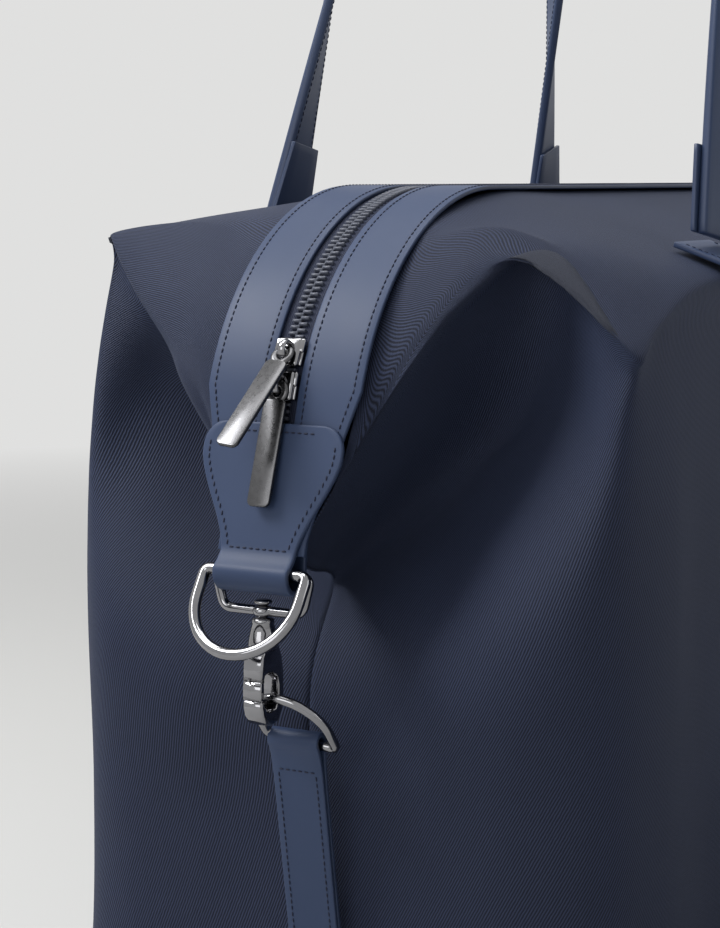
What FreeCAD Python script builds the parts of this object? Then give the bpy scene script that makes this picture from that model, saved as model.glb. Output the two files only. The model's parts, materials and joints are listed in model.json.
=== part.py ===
"""Soft twill holdall with a zip that runs over the top and down both ends.

Frame: +X towards the right end, -Y towards the front, +Z up, origin on the
floor under the middle of the bag. The zip lies in the plane Y = 0. Its path is
a straight top, a round turn at each end and a short straight fall, where a
leather tab closes it. Each tab carries a D-ring and a swivel hook, which is
clipped to a ring on a side strap that comes up from the base.
"""

import FreeCAD, Part
import Sketcher

import math
import os
import re

from FreeCAD import Placement, Rotation, Vector

SHEET = "Sizes"
SIZES = {
    # bag body
    "base_length": 480, "base_width": 245, "corner_radius": 35, "wall": 2.4,
    "shoulder_height": 286, "ridge_height": 320, "base_thickness": 2.0,
    "board_thickness": 2.5, "board_gap": 4.0, "lining_thickness": 0.8,
    "pocket_width": 200, "pocket_height": 130, "pocket_thickness": 2.0, "pocket_floor": 110,
    # zip path and the layers on it, as heights over the path
    "crest_reach": 163, "turn_radius": 100, "turn_angle": 75, "fall_length": 54,
    "tape_thickness": 0.8, "tape_inner": 3.0, "tape_outer": 14.0,
    "teeth_height": 1.4, "teeth_inner": 0.6, "teeth_outer": 2.9,
    "band_thickness": 1.6, "band_inner": 6.5, "band_outer": 32,
    "ear_depth": 4.6, "ear_horn_reach": 214, "ear_root_height": 188,
    "ear_seat_height": 252, "ear_seat_half": 84,
    # leather tab over each end of the zip
    "tab_width": 58, "tab_end_width": 31, "tab_top": 8, "tab_layer": 2.0,
    "tab_shoulder": 12, "tab_back_gap": 0.5, "roll_drop": 61, "roll_outer": 6.9, "roll_inner": 4.9,
    # rings and swivel hook
    "ring_wire": 2.0, "ring_half": 21, "ring_leg": 10, "ring_lean": 32, "ring_offset": 2.4,
    "loop_wire": 1.8, "loop_half_top": 19.8, "loop_half_end": 16.4, "loop_drop": 13,
    "loop_offset": 2.3, "boss_radius": 3.6, "boss_bore": 2.1, "post_radius": 1.6,
    "cap_radius": 3.2, "bell_top": 3.6, "bell_end": 5.4,
    "hook_half": 7.5, "hook_depth": 7.6, "hook_head": 11, "hook_foot": 41, "hook_bevel": 3.5,
    "throat_inner": 3.4, "throat_outer": 4.7, "throat_top": 22, "throat_end": 34.5,
    "nose_top": 30, "gate_thickness": 2.4, "gate_half": 1.7, "gate_slot": 2.1,
    "pin_radius": 0.8, "pin_across": 6.0, "pin_drop": 24, "cheek_end": 26.3,
    "strap_ring_half": 13.8, "strap_ring_leg": 8.6, "strap_ring_x": 260, "strap_ring_z": 125,
    "strap_ring_lean": 38.5,
    # side strap
    "strap_width": 21, "strap_thickness": 3.2, "strap_length": 115, "strap_lean": 9,
    "strap_roll_inner": 2.3, "strap_roll_outer": 3.9,
    # sliders and pullers
    "slider_length": 11, "slider_half": 6.0, "slider_plate": 1.7, "slider_gap": 1.9,
    "flange_inner": 4.4, "flange_gap": 0.4, "web_half": 0.3, "web_length": 5,
    "upper_place": 65, "lower_place": 72, "bail_height": 4.9, "bail_radius": 3.0,
    "bail_wire": 0.9, "puller_width": 9, "puller_length": 42, "puller_thickness": 1.6,
    "puller_hole": 2.0, "puller_lift": 19, "puller_skew": 17,
    # handles
    "handle_width": 25, "handle_thickness": 4, "handle_foot_x": 119, "handle_rise": 200,
    "front_foot_y": -103, "front_foot_z": 301.5, "front_tilt": 1.9, "front_anchor_inset": 1.8,
    "back_foot_y": 91, "back_foot_z": 305, "back_tilt": 8.5, "back_anchor_inset": 11.8,
    "handle_lean": 9,
    "chape_width": 29, "chape_length": 34, "chape_thickness": 1.8,
    "anchor_width": 33, "anchor_length": 30, "anchor_thickness": 2.5,
}

doc = FreeCAD.newDocument("holdall")
sheet = doc.addObject("Spreadsheet::Sheet", SHEET)
for row, (alias, number) in enumerate(SIZES.items(), start=1):
    sheet.set(f"A{row}", alias)
    sheet.set(f"B{row}", str(number))
    sheet.setAlias(f"B{row}", alias)
doc.recompute()

ALIASES = re.compile(r"\b(" + "|".join(sorted(SIZES, key=len, reverse=True)) + r")\b")
AROUND_Y = Vector(0, 1, 0)
nodes = []


def size(alias):
    """The sheet's value of one driving dimension."""
    return float(sheet.get(alias))


def bound(formula):
    """A formula in the sheet's aliases, written for setExpression."""
    return ALIASES.sub(SHEET + r".\1", str(formula))


def bind(thing, formulas):
    """Bind each named property of a thing to its formula."""
    for name, formula in formulas.items():
        thing.setExpression(name, bound(formula))


def place(thing, base=(0, 0, 0), axis=None, angle=0):
    """Bind a thing's place, and its turn about one axis, to formulas."""
    if axis is not None:
        thing.Placement = Placement(Vector(), Rotation(axis, 1))
        bind(thing, {"Placement.Rotation.Angle": angle})
    for letter, formula in zip("xyz", base):
        bind(thing, {"Placement.Base." + letter: formula})
    return thing


def box(name, low, spans, axis=None, angle=0):
    """A block from its low corner and its three spans, all formulas."""
    thing = doc.addObject("Part::Box", name)
    bind(thing, dict(zip(("Length", "Width", "Height"), spans)))
    return place(thing, low, axis, angle)


def rod(name, radius, length, start, along):
    """A cylinder of a bound radius and length from a start point along X, Y or Z."""
    thing = doc.addObject("Part::Cylinder", name)
    bind(thing, {"Radius": radius, "Height": length})
    turns = {"X": (Vector(0, 1, 0), 90), "Y": (Vector(1, 0, 0), -90), "Z": (None, 0)}
    return place(thing, start, *turns[along])


def join(name, *things):
    """One solid out of several that touch or overlap."""
    thing = doc.addObject("Part::MultiFuse", name)
    thing.Shapes = list(things)
    thing.Refine = True
    return thing


def cut(name, base, *tools):
    """A solid less its tools."""
    for number, tool in enumerate(tools, start=1):
        result = doc.addObject("Part::Cut", name if number == len(tools) else f"{name}_{number}")
        result.Base = base
        result.Tool = tool
        base = result
    return base


def common(name, *things):
    """What several solids share."""
    thing = doc.addObject("Part::MultiCommon", name)
    thing.Shapes = list(things)
    return thing


def group(name, *things):
    """Several separate solids that share one node."""
    thing = doc.addObject("Part::Compound", name)
    thing.Links = list(things)
    return thing


def mirrored(name, source, normal):
    """The twin of a thing on the other side of a middle plane."""
    thing = doc.addObject("Part::Mirroring", name)
    thing.Source = source
    thing.Base = Vector()
    thing.Normal = normal
    return thing


def prism(name, plane, corners, start, length):
    """A straight-sided outline on an origin plane, padded from start by length.

    The outline's corners are pairs of formulas. On XY they are (x, y), on XZ
    (x, z) and on YZ (y, z).
    """
    body = doc.addObject("PartDesign::Body", name)
    origin = next(item for item in body.Origin.OriginFeatures if item.Role == plane + "_Plane")
    sketch = body.newObject("Sketcher::SketchObject", name + "_outline")
    sketch.AttachmentSupport = [(origin, "")]
    sketch.MapMode = "FlatFace"
    bind(sketch, {"AttachmentOffset.Base.z": f"-({start})" if plane == "XZ" else start})
    points = [Vector(value(across), value(up), 0) for across, up in corners]
    for number, point in enumerate(points):
        sketch.addGeometry(Part.LineSegment(point, points[(number + 1) % len(points)]))
    for number in range(len(points)):
        after = (number + 1) % len(points)
        sketch.addConstraint(Sketcher.Constraint("Coincident", number, 2, after, 1))
    for number, corner in enumerate(corners):
        for kind, formula, at in zip(("DistanceX", "DistanceY"), corner, points[number]):
            rule = Sketcher.Constraint(kind, -1, 1, number, 1, at)
            index = sketch.addConstraint(rule)
            bind(sketch, {f"Constraints[{index}]": formula})
    pad = body.newObject("PartDesign::Pad", name + "_pad")
    pad.Profile = sketch
    bind(pad, {"Length": length})
    pad.Reversed = plane == "XZ"
    return body


def value(formula):
    """A formula in the sheet's aliases, worked out as a number."""
    return float(calculator.evalExpression(bound(formula)))


def node(name, thing):
    """Name a finished thing as one of the bag's pieces."""
    thing.Label = name
    nodes.append(thing)
    return thing


def both_ends(name, thing):
    """A piece at the left end and its twin at the right end."""
    node("left_" + name, thing)
    return node("right_" + name, mirrored("right_" + name, thing, Vector(1, 0, 0)))


def both_sides(name, thing):
    """A piece at the front and its twin at the back."""
    node("front_" + name, thing)
    return node("back_" + name, mirrored("back_" + name, thing, Vector(0, 1, 0)))


calculator = doc.addObject("App::FeaturePython", "calculator")
FALL = "-(90 + turn_angle)"
FALL_X = "-crest_reach - turn_radius * sin(turn_angle)"
FALL_Z = "ridge_height - turn_radius + turn_radius * cos(turn_angle)"


def at_fall(across, along):
    """World X and Z of a point on the left fall: height over the path, distance down it."""
    x = f"({FALL_X}) - ({across}) * sin(turn_angle) - ({along}) * cos(turn_angle)"
    z = f"({FALL_Z}) + ({across}) * cos(turn_angle) - ({along}) * sin(turn_angle)"
    return x, z


def hang(thing, x, z, lean):
    """Set a thing made about the origin, hanging down local Z, at a point of Y = 0.

    Local X points out of the left end. Lean tips the hanging end outwards.
    """
    return place(thing, (x, 0, z), AROUND_Y, f"-(180 - ({lean}))")


# ---------------------------------------------------------------- bag body


def rounded_block(name, inset, low, height):
    """An upright block with the base's outline, drawn in by inset."""
    length = f"(base_length / 2 - ({inset}))"
    width = f"(base_width / 2 - ({inset}))"
    radius = f"(corner_radius - ({inset}))"
    long_way = box(name + "_long", (f"-{length}", f"-{width} + {radius}", low),
                   (f"2 * {length}", f"2 * ({width} - {radius})", height))
    wide_way = box(name + "_wide", (f"-{length} + {radius}", f"-{width}", low),
                   (f"2 * ({length} - {radius})", f"2 * {width}", height))
    corners = [rod(f"{name}_corner_{number}", radius, height,
                   (f"{x} * ({length} - {radius})", f"{y} * ({width} - {radius})", low), "Z")
               for number, (x, y) in enumerate(((-1, -1), (-1, 1), (1, -1), (1, 1)))]
    return join(name, long_way, wide_way, *corners)


def bag_body():
    """The base, the four walls, the top slopes, the ears, the lining and the pocket."""
    node("base_panel", rounded_block("base_panel", "0", "0", "base_thickness"))
    node("base_board", rounded_block("base_board", "board_gap", "base_thickness",
                                     "board_thickness"))
    wall_height = "(shoulder_height - base_thickness)"
    shell = cut("shell", rounded_block("outside", "0", "base_thickness", wall_height),
                rounded_block("inside", "wall", "base_thickness", wall_height))
    straight = "(base_length / 2 - corner_radius)"
    front = box("front_half", (f"-{straight}", "-base_width / 2 - 1", "0"),
                (f"2 * {straight}", "base_width / 4", "shoulder_height"))
    both_sides("panel", common("front_panel", shell, front))
    end = box("end_part", ("-base_length / 2 - 1", "-base_width / 2 - 1", "0"),
              ("corner_radius + 1", "base_width + 2", "shoulder_height"))
    seat = box("ear_seat", ("-base_length / 2 - 1", "-ear_seat_half", "ear_seat_height"),
               ("corner_radius", "2 * ear_seat_half", "shoulder_height"))
    both_ends("end_panel", cut("left_end_panel", common("end_wall", shell, end), seat))

    lining_low = "base_thickness + board_thickness"
    lining_height = "(ear_seat_height - base_thickness - board_thickness - 2)"
    lining = cut("lining", rounded_block("lining_outside", "wall", lining_low, lining_height),
                 rounded_block("lining_inside", "wall + lining_thickness", lining_low,
                               lining_height))
    node("lining", lining)
    pocket = box("inner_pocket",
                 ("-pocket_width / 2",
                  "base_width / 2 - wall - lining_thickness - pocket_thickness", "pocket_floor"),
                 ("pocket_width", "pocket_thickness", "pocket_height"))
    node("inner_pocket", pocket)

    rise = "(ridge_height - 1.5 - shoulder_height)"
    run = "(base_width / 2 - 1 - band_outer)"
    slope = box("front_top_panel", ("-crest_reach", "-base_width / 2 + 1", "shoulder_height + 0.1"),
                ("2 * crest_reach", f"sqrt({rise} ^ 2 + {run} ^ 2)", "2"),
                Vector(1, 0, 0), f"atan({rise} / {run})")
    both_sides("top_panel", slope)


def ear():
    """The folded gusset under the zip at one end, as a solid wedge."""
    depth = "(turn_radius - ear_depth)"
    top = "ridge_height - ear_depth"
    side = [("-crest_reach", "shoulder_height + 0.2"), ("-crest_reach", top)]
    for part in (0.25, 0.5, 0.75, 1.0):
        turn = f"(turn_angle * {part})"
        side.append((f"-crest_reach - {depth} * sin({turn})",
                     f"ridge_height - turn_radius + {depth} * cos({turn})"))
    side.append(at_fall("-ear_depth", "fall_length"))
    side.append(("-base_length / 2 - 0.4", "ear_root_height"))
    side.append(("-base_length / 2 - 0.4", "ear_seat_height + 0.2"))
    side.append(("-base_length / 2 + 22", "shoulder_height + 0.2"))
    profile = prism("ear_profile", "XZ", side, "-base_width / 2", "base_width")
    half = "(base_width / 2 - 2)"
    end_view = [(f"-{half}", "shoulder_height - 14"), (f"-{half}", "shoulder_height + 6"),
                ("-band_outer", "ridge_height"), ("band_outer", "ridge_height"),
                (half, "shoulder_height + 6"), (half, "shoulder_height - 14"),
                ("tab_end_width / 2", "ear_root_height - 2"),
                ("-tab_end_width / 2", "ear_root_height - 2")]
    facing = prism("ear_facing", "YZ", end_view, "-base_length * 0.7", "base_length * 0.7")
    tip = "(base_length / 2 + 34)"
    plan = [("-crest_reach", f"-{half}"), ("-crest_reach", half),
            ("-ear_horn_reach", half), (f"-{tip}", "tab_width / 2"),
            (f"-{tip}", "-tab_width / 2"), ("-ear_horn_reach", f"-{half}")]
    above = prism("ear_plan", "XY", plan, "0", "ridge_height + 1")
    both_ends("zip_ear", common("left_zip_ear", profile, facing, above))


# ---------------------------------------------------------------- zip


def ribbon(name, low, high, from_y, width):
    """A strip that follows the whole zip path, between two heights over the path."""
    outer = doc.addObject("Part::Cylinder", name + "_turn_outer")
    inner = doc.addObject("Part::Cylinder", name + "_turn_inner")
    for turn, reach in ((outer, high), (inner, low)):
        bind(turn, {"Radius": f"turn_radius + ({reach})", "Height": width, "Angle": "turn_angle"})
        upright = Rotation(Vector(1, 0, 0), -90)
        start = Rotation(Vector(0, 0, 1), -(90 + size("turn_angle")))
        turn.Placement = Placement(Vector(), upright.multiply(start))
        place(turn, ("-crest_reach", from_y, "ridge_height - turn_radius"))
    bend = cut(name + "_turn", outer, inner)
    x, z = at_fall(low, "0")
    fall = box(name + "_fall", (x, from_y, z),
               (f"({high}) - ({low})", width, "fall_length"), AROUND_Y, FALL)
    left = join(name + "_left", bend, fall)
    right = mirrored(name + "_right", left, Vector(1, 0, 0))
    top = box(name + "_top", ("-crest_reach", from_y, f"ridge_height + ({low})"),
              ("2 * crest_reach", width, f"({high}) - ({low})"))
    return join(name, left, top, right)


def zip_runs():
    """The tapes, the rows of teeth, and the leather bands."""
    both_sides("zip_tape", ribbon("front_zip_tape", "-tape_thickness", "0", "-tape_outer",
                                  "tape_outer - tape_inner"))
    both_sides("zip_teeth", ribbon("front_zip_teeth", "-teeth_height", "teeth_height",
                                   "-teeth_outer", "teeth_outer - teeth_inner"))
    both_sides("zip_band", ribbon("front_zip_band", "0", "band_thickness", "-band_outer",
                                  "band_outer - band_inner"))


def tab():
    """The leather tab that closes one end of the zip and rolls round the rings."""
    end = "(roll_drop - 3)"
    narrow = "tab_end_width / 2"
    wide = "tab_width / 2"
    outline = [(f"-{narrow}", end), (narrow, end), (wide, "tab_shoulder + tab_top"),
               (f"{wide} - 1", "tab_top + 3"), (f"{wide} - 4", "tab_top"),
               (f"4 - {wide}", "tab_top"), (f"1 - {wide}", "tab_top + 3"),
               (f"-{wide}", "tab_shoulder + tab_top")]
    front = prism("tab_front", "YZ", outline, "band_thickness", "tab_layer")
    back = prism("tab_back", "YZ", outline, "-teeth_height - tab_back_gap - tab_layer", "tab_layer")
    roll = rod("tab_roll", "roll_outer", "tab_end_width",
               ("0.3", "-tab_end_width / 2", "roll_drop"), "Y")
    hole = rod("tab_hole", "roll_inner", "tab_end_width + 2",
               ("0.3", "-tab_end_width / 2 - 1", "roll_drop"), "Y")
    piece = cut("left_zip_tab", join("tab_solid", front, back, roll), hole)
    place(piece, (FALL_X, 0, FALL_Z), AROUND_Y, FALL)
    both_ends("zip_tab", piece)


# ---------------------------------------------------------------- rings and hook


def bent_wire(name, points, wire):
    """Round wire through a closed run of (y, z) points, rounded at each one."""
    pieces = []
    for number, (y, z) in enumerate(points):
        after_y, after_z = points[(number + 1) % len(points)]
        way = Vector(0, value(after_y) - value(y), value(after_z) - value(z))
        run = doc.addObject("Part::Cylinder", f"{name}_run_{number}")
        bind(run, {"Radius": wire})
        run.Height = way.Length
        run.Placement = Placement(Vector(), Rotation(Vector(0, 0, 1), way))
        place(run, (0, y, z))
        ball = doc.addObject("Part::Sphere", f"{name}_bend_{number}")
        bind(ball, {"Radius": wire})
        place(ball, (0, y, z))
        pieces += [run, ball]
    return join(name, *pieces)


def d_shape(half, leg):
    """Points of a D: a bar on Y at Z = 0, two legs and a half circle."""
    steps = 10
    bow = [(f"({half}) * cos({180 * step / steps})", f"{leg} + ({half}) * sin({180 * step / steps})")
           for step in range(steps + 1)]
    return [(f"-({half})", "0"), (half, "0")] + bow


def end_rings():
    """The D-ring on the tab and the ring on the side strap."""
    x, z = at_fall("0.3 + ring_offset", "roll_drop")
    ring = bent_wire("left_d_ring", d_shape("ring_half", "ring_leg"), "ring_wire")
    both_ends("d_ring", hang(ring, x, z, "ring_lean"))
    strap_ring = bent_wire("left_strap_ring", d_shape("strap_ring_half", "strap_ring_leg"),
                           "loop_wire")
    place(strap_ring, ("-strap_ring_x", 0, "strap_ring_z"), AROUND_Y, "-strap_ring_lean")
    both_ends("strap_ring", strap_ring)


def swivel_hook():
    """The swivel loop, the hook with its gate, pin and spring."""
    x, z = at_fall("0.3 - loop_offset", "roll_drop")
    corners = [("-loop_half_top", "0"), ("loop_half_top", "0"),
               ("loop_half_end", "loop_drop"), ("-loop_half_end", "loop_drop")]
    boss = rod("loop_boss", "boss_radius", "2 * loop_wire", (0, 0, "loop_drop - loop_wire"), "Z")
    bore = rod("loop_bore", "boss_bore", "6 * loop_wire", (0, 0, "loop_drop - 3 * loop_wire"), "Z")
    loop = cut("left_swivel_loop",
               join("loop_solid", bent_wire("loop_wire_run", corners, "loop_wire"), boss), bore)
    both_ends("swivel_loop", hang(loop, x, z, "0"))

    half = "hook_half"
    bevel = "hook_bevel"
    outline = [(f"-{half} + {bevel}", "hook_head"), (f"{half} - {bevel}", "hook_head"),
               (half, f"hook_head + {bevel}"), (half, f"hook_foot - {bevel}"),
               (f"{half} - {bevel}", "hook_foot"), (f"-{half} + {bevel}", "hook_foot"),
               (f"-{half}", f"hook_foot - {bevel}"), (f"-{half}", f"hook_head + {bevel}")]
    block = prism("hook_block", "XZ", outline, "-hook_depth / 2", "hook_depth")
    bell = doc.addObject("Part::Cone", "hook_bell")
    bind(bell, {"Radius1": "bell_top", "Radius2": "bell_end", "Height": "hook_head - 2.4"})
    place(bell, (0, 0, "2.4"))
    post = rod("hook_post", "post_radius", "9", (0, 0, "-4"), "Z")
    cap = rod("hook_cap", "cap_radius", "1.6", (0, 0, "-4"), "Z")
    throat = box("hook_throat", ("-throat_inner", "-hook_depth", "throat_top"),
                 ("throat_inner + throat_outer", "2 * hook_depth", "throat_end - throat_top"))
    slot = box("gate_slot", ("throat_outer - 0.6", "-gate_slot", "throat_top - 2"),
               ("hook_half", "2 * gate_slot", "nose_top - throat_top + 2"))
    mouth = box("hook_mouth", ("throat_outer - 0.1", "-hook_depth", "cheek_end"),
                ("hook_half", "2 * hook_depth", "nose_top - cheek_end"))
    pin_hole = rod("pin_hole", "pin_radius", "2 * hook_depth",
                   ("pin_across", "-hook_depth", "pin_drop"), "Y")
    hook = cut("left_snap_hook", join("hook_solid", block, bell, post, cap),
               throat, slot, mouth, pin_hole)
    drop = f"({z}) - loop_drop"
    both_ends("snap_hook", hang(hook, x, drop, "0"))

    pin = rod("gate_pin_rod", "pin_radius", "hook_depth - 0.4",
              ("pin_across", "-hook_depth / 2 + 0.2", "pin_drop"), "Y")
    both_ends("gate_pin", hang(group("left_gate_pin", pin), x, drop, "0"))
    blade = box("gate_blade", ("throat_outer", "-gate_half", "throat_top - 0.4"),
                ("gate_thickness", "gate_half + 0.6", "nose_top - throat_top + 0.1"))
    blade_rest = box("gate_blade_rest", ("throat_outer", "0.5", "cheek_end - 0.5"),
                     ("gate_thickness", "gate_half - 0.5", "nose_top - cheek_end + 0.2"))
    gate_bore = rod("gate_bore", "pin_radius + 0.2", "hook_depth",
                    ("pin_across", "-hook_depth / 2", "pin_drop"), "Y")
    gate = cut("left_hook_gate", join("gate_solid", blade, blade_rest), gate_bore)
    both_ends("hook_gate", hang(gate, x, drop, "0"))
    coil = cut("left_gate_spring",
               rod("spring_outer", "pin_radius + 0.6", "0.8", ("pin_across", "1", "pin_drop"), "Y"),
               rod("spring_inner", "pin_radius + 0.2", "2", ("pin_across", "0.5", "pin_drop"), "Y"))
    both_ends("gate_spring", hang(coil, x, drop, "0"))


def side_strap():
    """The doubled leather strap from the base up to its ring."""
    strip = box("strap_strip", ("-strap_thickness / 2", "-strap_width / 2", "3"),
                ("strap_thickness", "strap_width", "strap_length - 3"))
    roll = rod("strap_roll", "strap_roll_outer", "strap_width", (0, "-strap_width / 2", 0), "Y")
    hole = rod("strap_hole", "strap_roll_inner", "strap_width + 2",
               (0, "-strap_width / 2 - 1", 0), "Y")
    strap = cut("left_side_strap", join("strap_solid", strip, roll), hole)
    both_ends("side_strap", hang(strap, "-strap_ring_x", "strap_ring_z", "-strap_lean"))


# ---------------------------------------------------------------- sliders


def on_turn(thing, place_angle):
    """Set a thing made about the origin on the left turn, local Z down the path."""
    x = f"-crest_reach - turn_radius * sin({place_angle})"
    z = f"ridge_height - turn_radius + turn_radius * cos({place_angle})"
    return place(thing, (x, 0, z), AROUND_Y, f"-(90 + ({place_angle}))")


def slider(name, place_angle):
    """A slider: two plates round the teeth, a thin web between them and a bail."""
    back = "-slider_length / 2"
    plate = box(name + "_plate", ("slider_gap", "-slider_half", back),
                ("slider_plate", "2 * slider_half", "slider_length"))
    sole = box(name + "_sole", ("-slider_gap - slider_plate", "-slider_half", back),
               ("slider_plate", "2 * slider_half", "slider_length"))
    sides = [box(f"{name}_flange_{side}",
                 ("flange_gap", "flange_inner" if side else "-slider_half", back),
                 ("slider_gap - flange_gap + 0.1", "slider_half - flange_inner", "slider_length"))
             for side in (0, 1)]
    web = box(name + "_web", ("-slider_gap - 0.1", "-web_half", back),
              ("2 * slider_gap + 0.2", "2 * web_half", "web_length"))
    bow = doc.addObject("Part::Torus", name + "_bow")
    bind(bow, {"Radius1": "bail_radius", "Radius2": "bail_wire", "Angle3": "180"})
    half_turn = Rotation(Vector(0, 0, 1), -90)
    bow.Placement = Placement(Vector(), Rotation(Vector(1, 0, 0), 90).multiply(half_turn))
    place(bow, ("bail_height", 0, 0))
    legs = [rod(f"{name}_leg_{side}", "bail_wire", "bail_height - slider_gap - 1",
                ("slider_gap + 1", 0, f"{side} * bail_radius"), "X") for side in (-1, 1)]
    whole = join(name, plate, sole, web, bow, *sides, *legs)
    node(name, on_turn(whole, place_angle))


def puller(name, place_angle, lift, skew):
    """A flat bare puller with a round eye about the bail."""
    width = "puller_width"
    flat = box(name + "_flat", ("-puller_thickness / 2", f"-{width} / 2", "bail_radius + 4"),
               ("puller_thickness", width, "puller_length - 4"))
    neck = rod(name + "_neck", "puller_hole + 1.5", "puller_thickness",
               ("-puller_thickness / 2", 0, "bail_radius"), "X")
    shank = box(name + "_shank", ("-puller_thickness / 2", "-3", "bail_radius + 1"),
                ("puller_thickness", "6", "6"))
    eye = rod(name + "_eye", "puller_hole", "2 * puller_thickness",
              ("-puller_thickness", 0, "bail_radius"), "X")
    thing = cut(name, join(name + "_solid", flat, neck, shank), eye)
    swing = Rotation(AROUND_Y, lift).multiply(Rotation(Vector(1, 0, 0), -skew))
    turn = Rotation(AROUND_Y, -(90 + size(place_angle)))
    thing.Placement = Placement(Vector(), turn.multiply(swing))
    reach = "(turn_radius + bail_height)"
    place(thing, (f"-crest_reach - {reach} * sin({place_angle})", 0,
                  f"ridge_height - turn_radius + {reach} * cos({place_angle})"))
    node(name, thing)


def sliders():
    """Two sliders that meet near the left end, each with its puller."""
    slider("upper_slider", "upper_place")
    slider("lower_slider", "lower_place")
    puller("upper_puller", "upper_place", size("puller_lift"), size("puller_skew"))
    puller("lower_puller", "lower_place", 0, 0)


# ---------------------------------------------------------------- handles


def handle_sizes():
    """Leg length, bow radius and whole length of a handle's strap."""
    lean = math.radians(size("handle_lean"))
    inset = size("handle_foot_x") - size("handle_rise") * math.tan(lean)
    radius = inset / (math.cos(lean) - (1 - math.sin(lean)) * math.tan(lean))
    leg = (size("handle_rise") - radius * (1 - math.sin(lean))) / math.cos(lean)
    return leg, radius, 2 * leg + (math.pi - 2 * lean) * radius


def handle_line(part):
    """Centre, direction and twist of the front handle's strap at part 0..1 of its length.

    The legs lean together, and one round bow joins them. The strap lies flat to
    the bag at its feet and turns a quarter on its way to the top.
    """
    leg, radius, whole = handle_sizes()
    lean = math.radians(size("handle_lean"))
    foot = size("handle_foot_x")
    from_foot = min(part, 1 - part) * whole
    if from_foot <= leg:
        across = -foot + from_foot * math.sin(lean)
        up = from_foot * math.cos(lean)
        slope = lean
    else:
        slope = lean + (from_foot - leg) / radius
        across = -radius * math.cos(slope)
        up = size("handle_rise") - radius + radius * math.sin(slope)
    twist = 180 * from_foot / whole
    if part <= 0.5:
        return Vector(across, 0, up), Vector(math.sin(slope), 0, math.cos(slope)), -twist
    return Vector(-across, 0, up), Vector(math.sin(slope), 0, -math.cos(slope)), twist - 180


def strap_section(part, width, thickness, offset):
    """The strap's cross-section at one part of its length, as a closed wire."""
    centre, way, twist = handle_line(part)
    flat = Vector(0, 1, 0).cross(way)
    turn = Rotation(way, twist)
    across = turn.multVec(flat)
    through = turn.multVec(Vector(0, 1, 0))
    corners = [centre + across * (a * width / 2) + through * (offset + t * thickness / 2)
               for a, t in ((-1, -1), (1, -1), (1, 1), (-1, 1))]
    return Part.makePolygon(corners + corners[:1])


def anchor_pair(side, inset):
    """Two leather pads on the front slope, a set way in from its edge, under a handle's feet."""
    rise = "(ridge_height - 1.5 - shoulder_height)"
    run = "(base_width / 2 - 1 - band_outer)"
    up = f"shoulder_height + 2.6 + ({inset} - 1.8) * {rise} / {run}"
    pads = [box(f"{side}_pad_{number}",
                (f"{x} * handle_foot_x - anchor_width / 2", f"-base_width / 2 + {inset}", up),
                ("anchor_width", "anchor_length", "anchor_thickness"),
                Vector(1, 0, 0), f"atan({rise} / {run})") for number, x in enumerate((-1, 1))]
    return group(f"{side}_pads", *pads)


def handles():
    """The two twisted strap handles, the chapes on their feet and their anchors.

    Each handle tilts on the line through its feet. At rest the front one stands
    nearly upright, and the back one leans in over the zip.
    """
    steps = 28
    sections = [strap_section(step / steps, size("handle_width"), size("handle_thickness"), 0)
                for step in range(steps + 1)]
    reach = size("chape_length") / handle_sizes()[2]
    offset = (size("handle_thickness") + size("chape_thickness")) / 2 + 0.05
    covers = []
    for start, end, inside in ((0.004, reach, offset), (1 - reach, 0.996, -offset)):
        wires = [strap_section(start + (end - start) * step / 4, size("chape_width"),
                               size("chape_thickness"), inside) for step in range(5)]
        covers.append(Part.makeLoft(wires, True, True))
    shapes = {"handle": Part.makeLoft(sections, True, True),
              "handle_chapes": Part.makeCompound(covers)}
    for side in ("front", "back"):
        foot = Vector(0, size(f"{side}_foot_y"), size(f"{side}_foot_z"))
        tilt = Rotation(Vector(1, 0, 0), size(f"{side}_tilt"))
        for name, shape in shapes.items():
            piece = doc.addObject("Part::Feature", f"{side}_{name}")
            piece.Shape = shape.mirror(Vector(), Vector(0, 1, 0)) if side == "back" else shape
            piece.Placement = Placement(foot, tilt)
            node(f"{side}_{name}", piece)
    node("front_handle_anchors", anchor_pair("front", "front_anchor_inset"))
    back = anchor_pair("back", "back_anchor_inset")
    node("back_handle_anchors", mirrored("back_handle_anchors", back, Vector(0, 1, 0)))


# ---------------------------------------------------------------- build and write


def write_nodes():
    """Check every object and every piece, then write each piece to its file."""
    doc.recompute()
    for thing in doc.Objects:
        if set(thing.State) & {"Invalid", "Error"}:
            raise RuntimeError(f"{thing.Name} failed: {thing.State}")
    os.makedirs("parts", exist_ok=True)
    for thing in nodes:
        shape = thing.Shape
        if shape.isNull() or not shape.isValid() or not shape.Solids:
            raise RuntimeError(f"{thing.Label} has no valid solid")
        shape.exportStep(f"parts/{thing.Label}.step")
        print(f"{thing.Label}: {len(shape.Solids)} solid(s), {shape.Volume / 1000:.2f} cm3")


bag_body()
ear()
zip_runs()
tab()
end_rings()
swivel_hook()
side_strap()
sliders()
handles()
write_nodes()
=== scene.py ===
"""Soft navy holdall in twill and smooth leather, with a zip that runs over the top.

Every length is in metres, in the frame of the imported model: +X to the right
end, -Y to the front, +Z up, with the origin on the floor under the bag.
"""

from __future__ import annotations

import json
import logging
import math
from dataclasses import dataclass, field
from enum import Enum
from typing import Callable, Iterable, Sequence

import bmesh
import bpy
from mathutils import Matrix, Vector, noise

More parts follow.
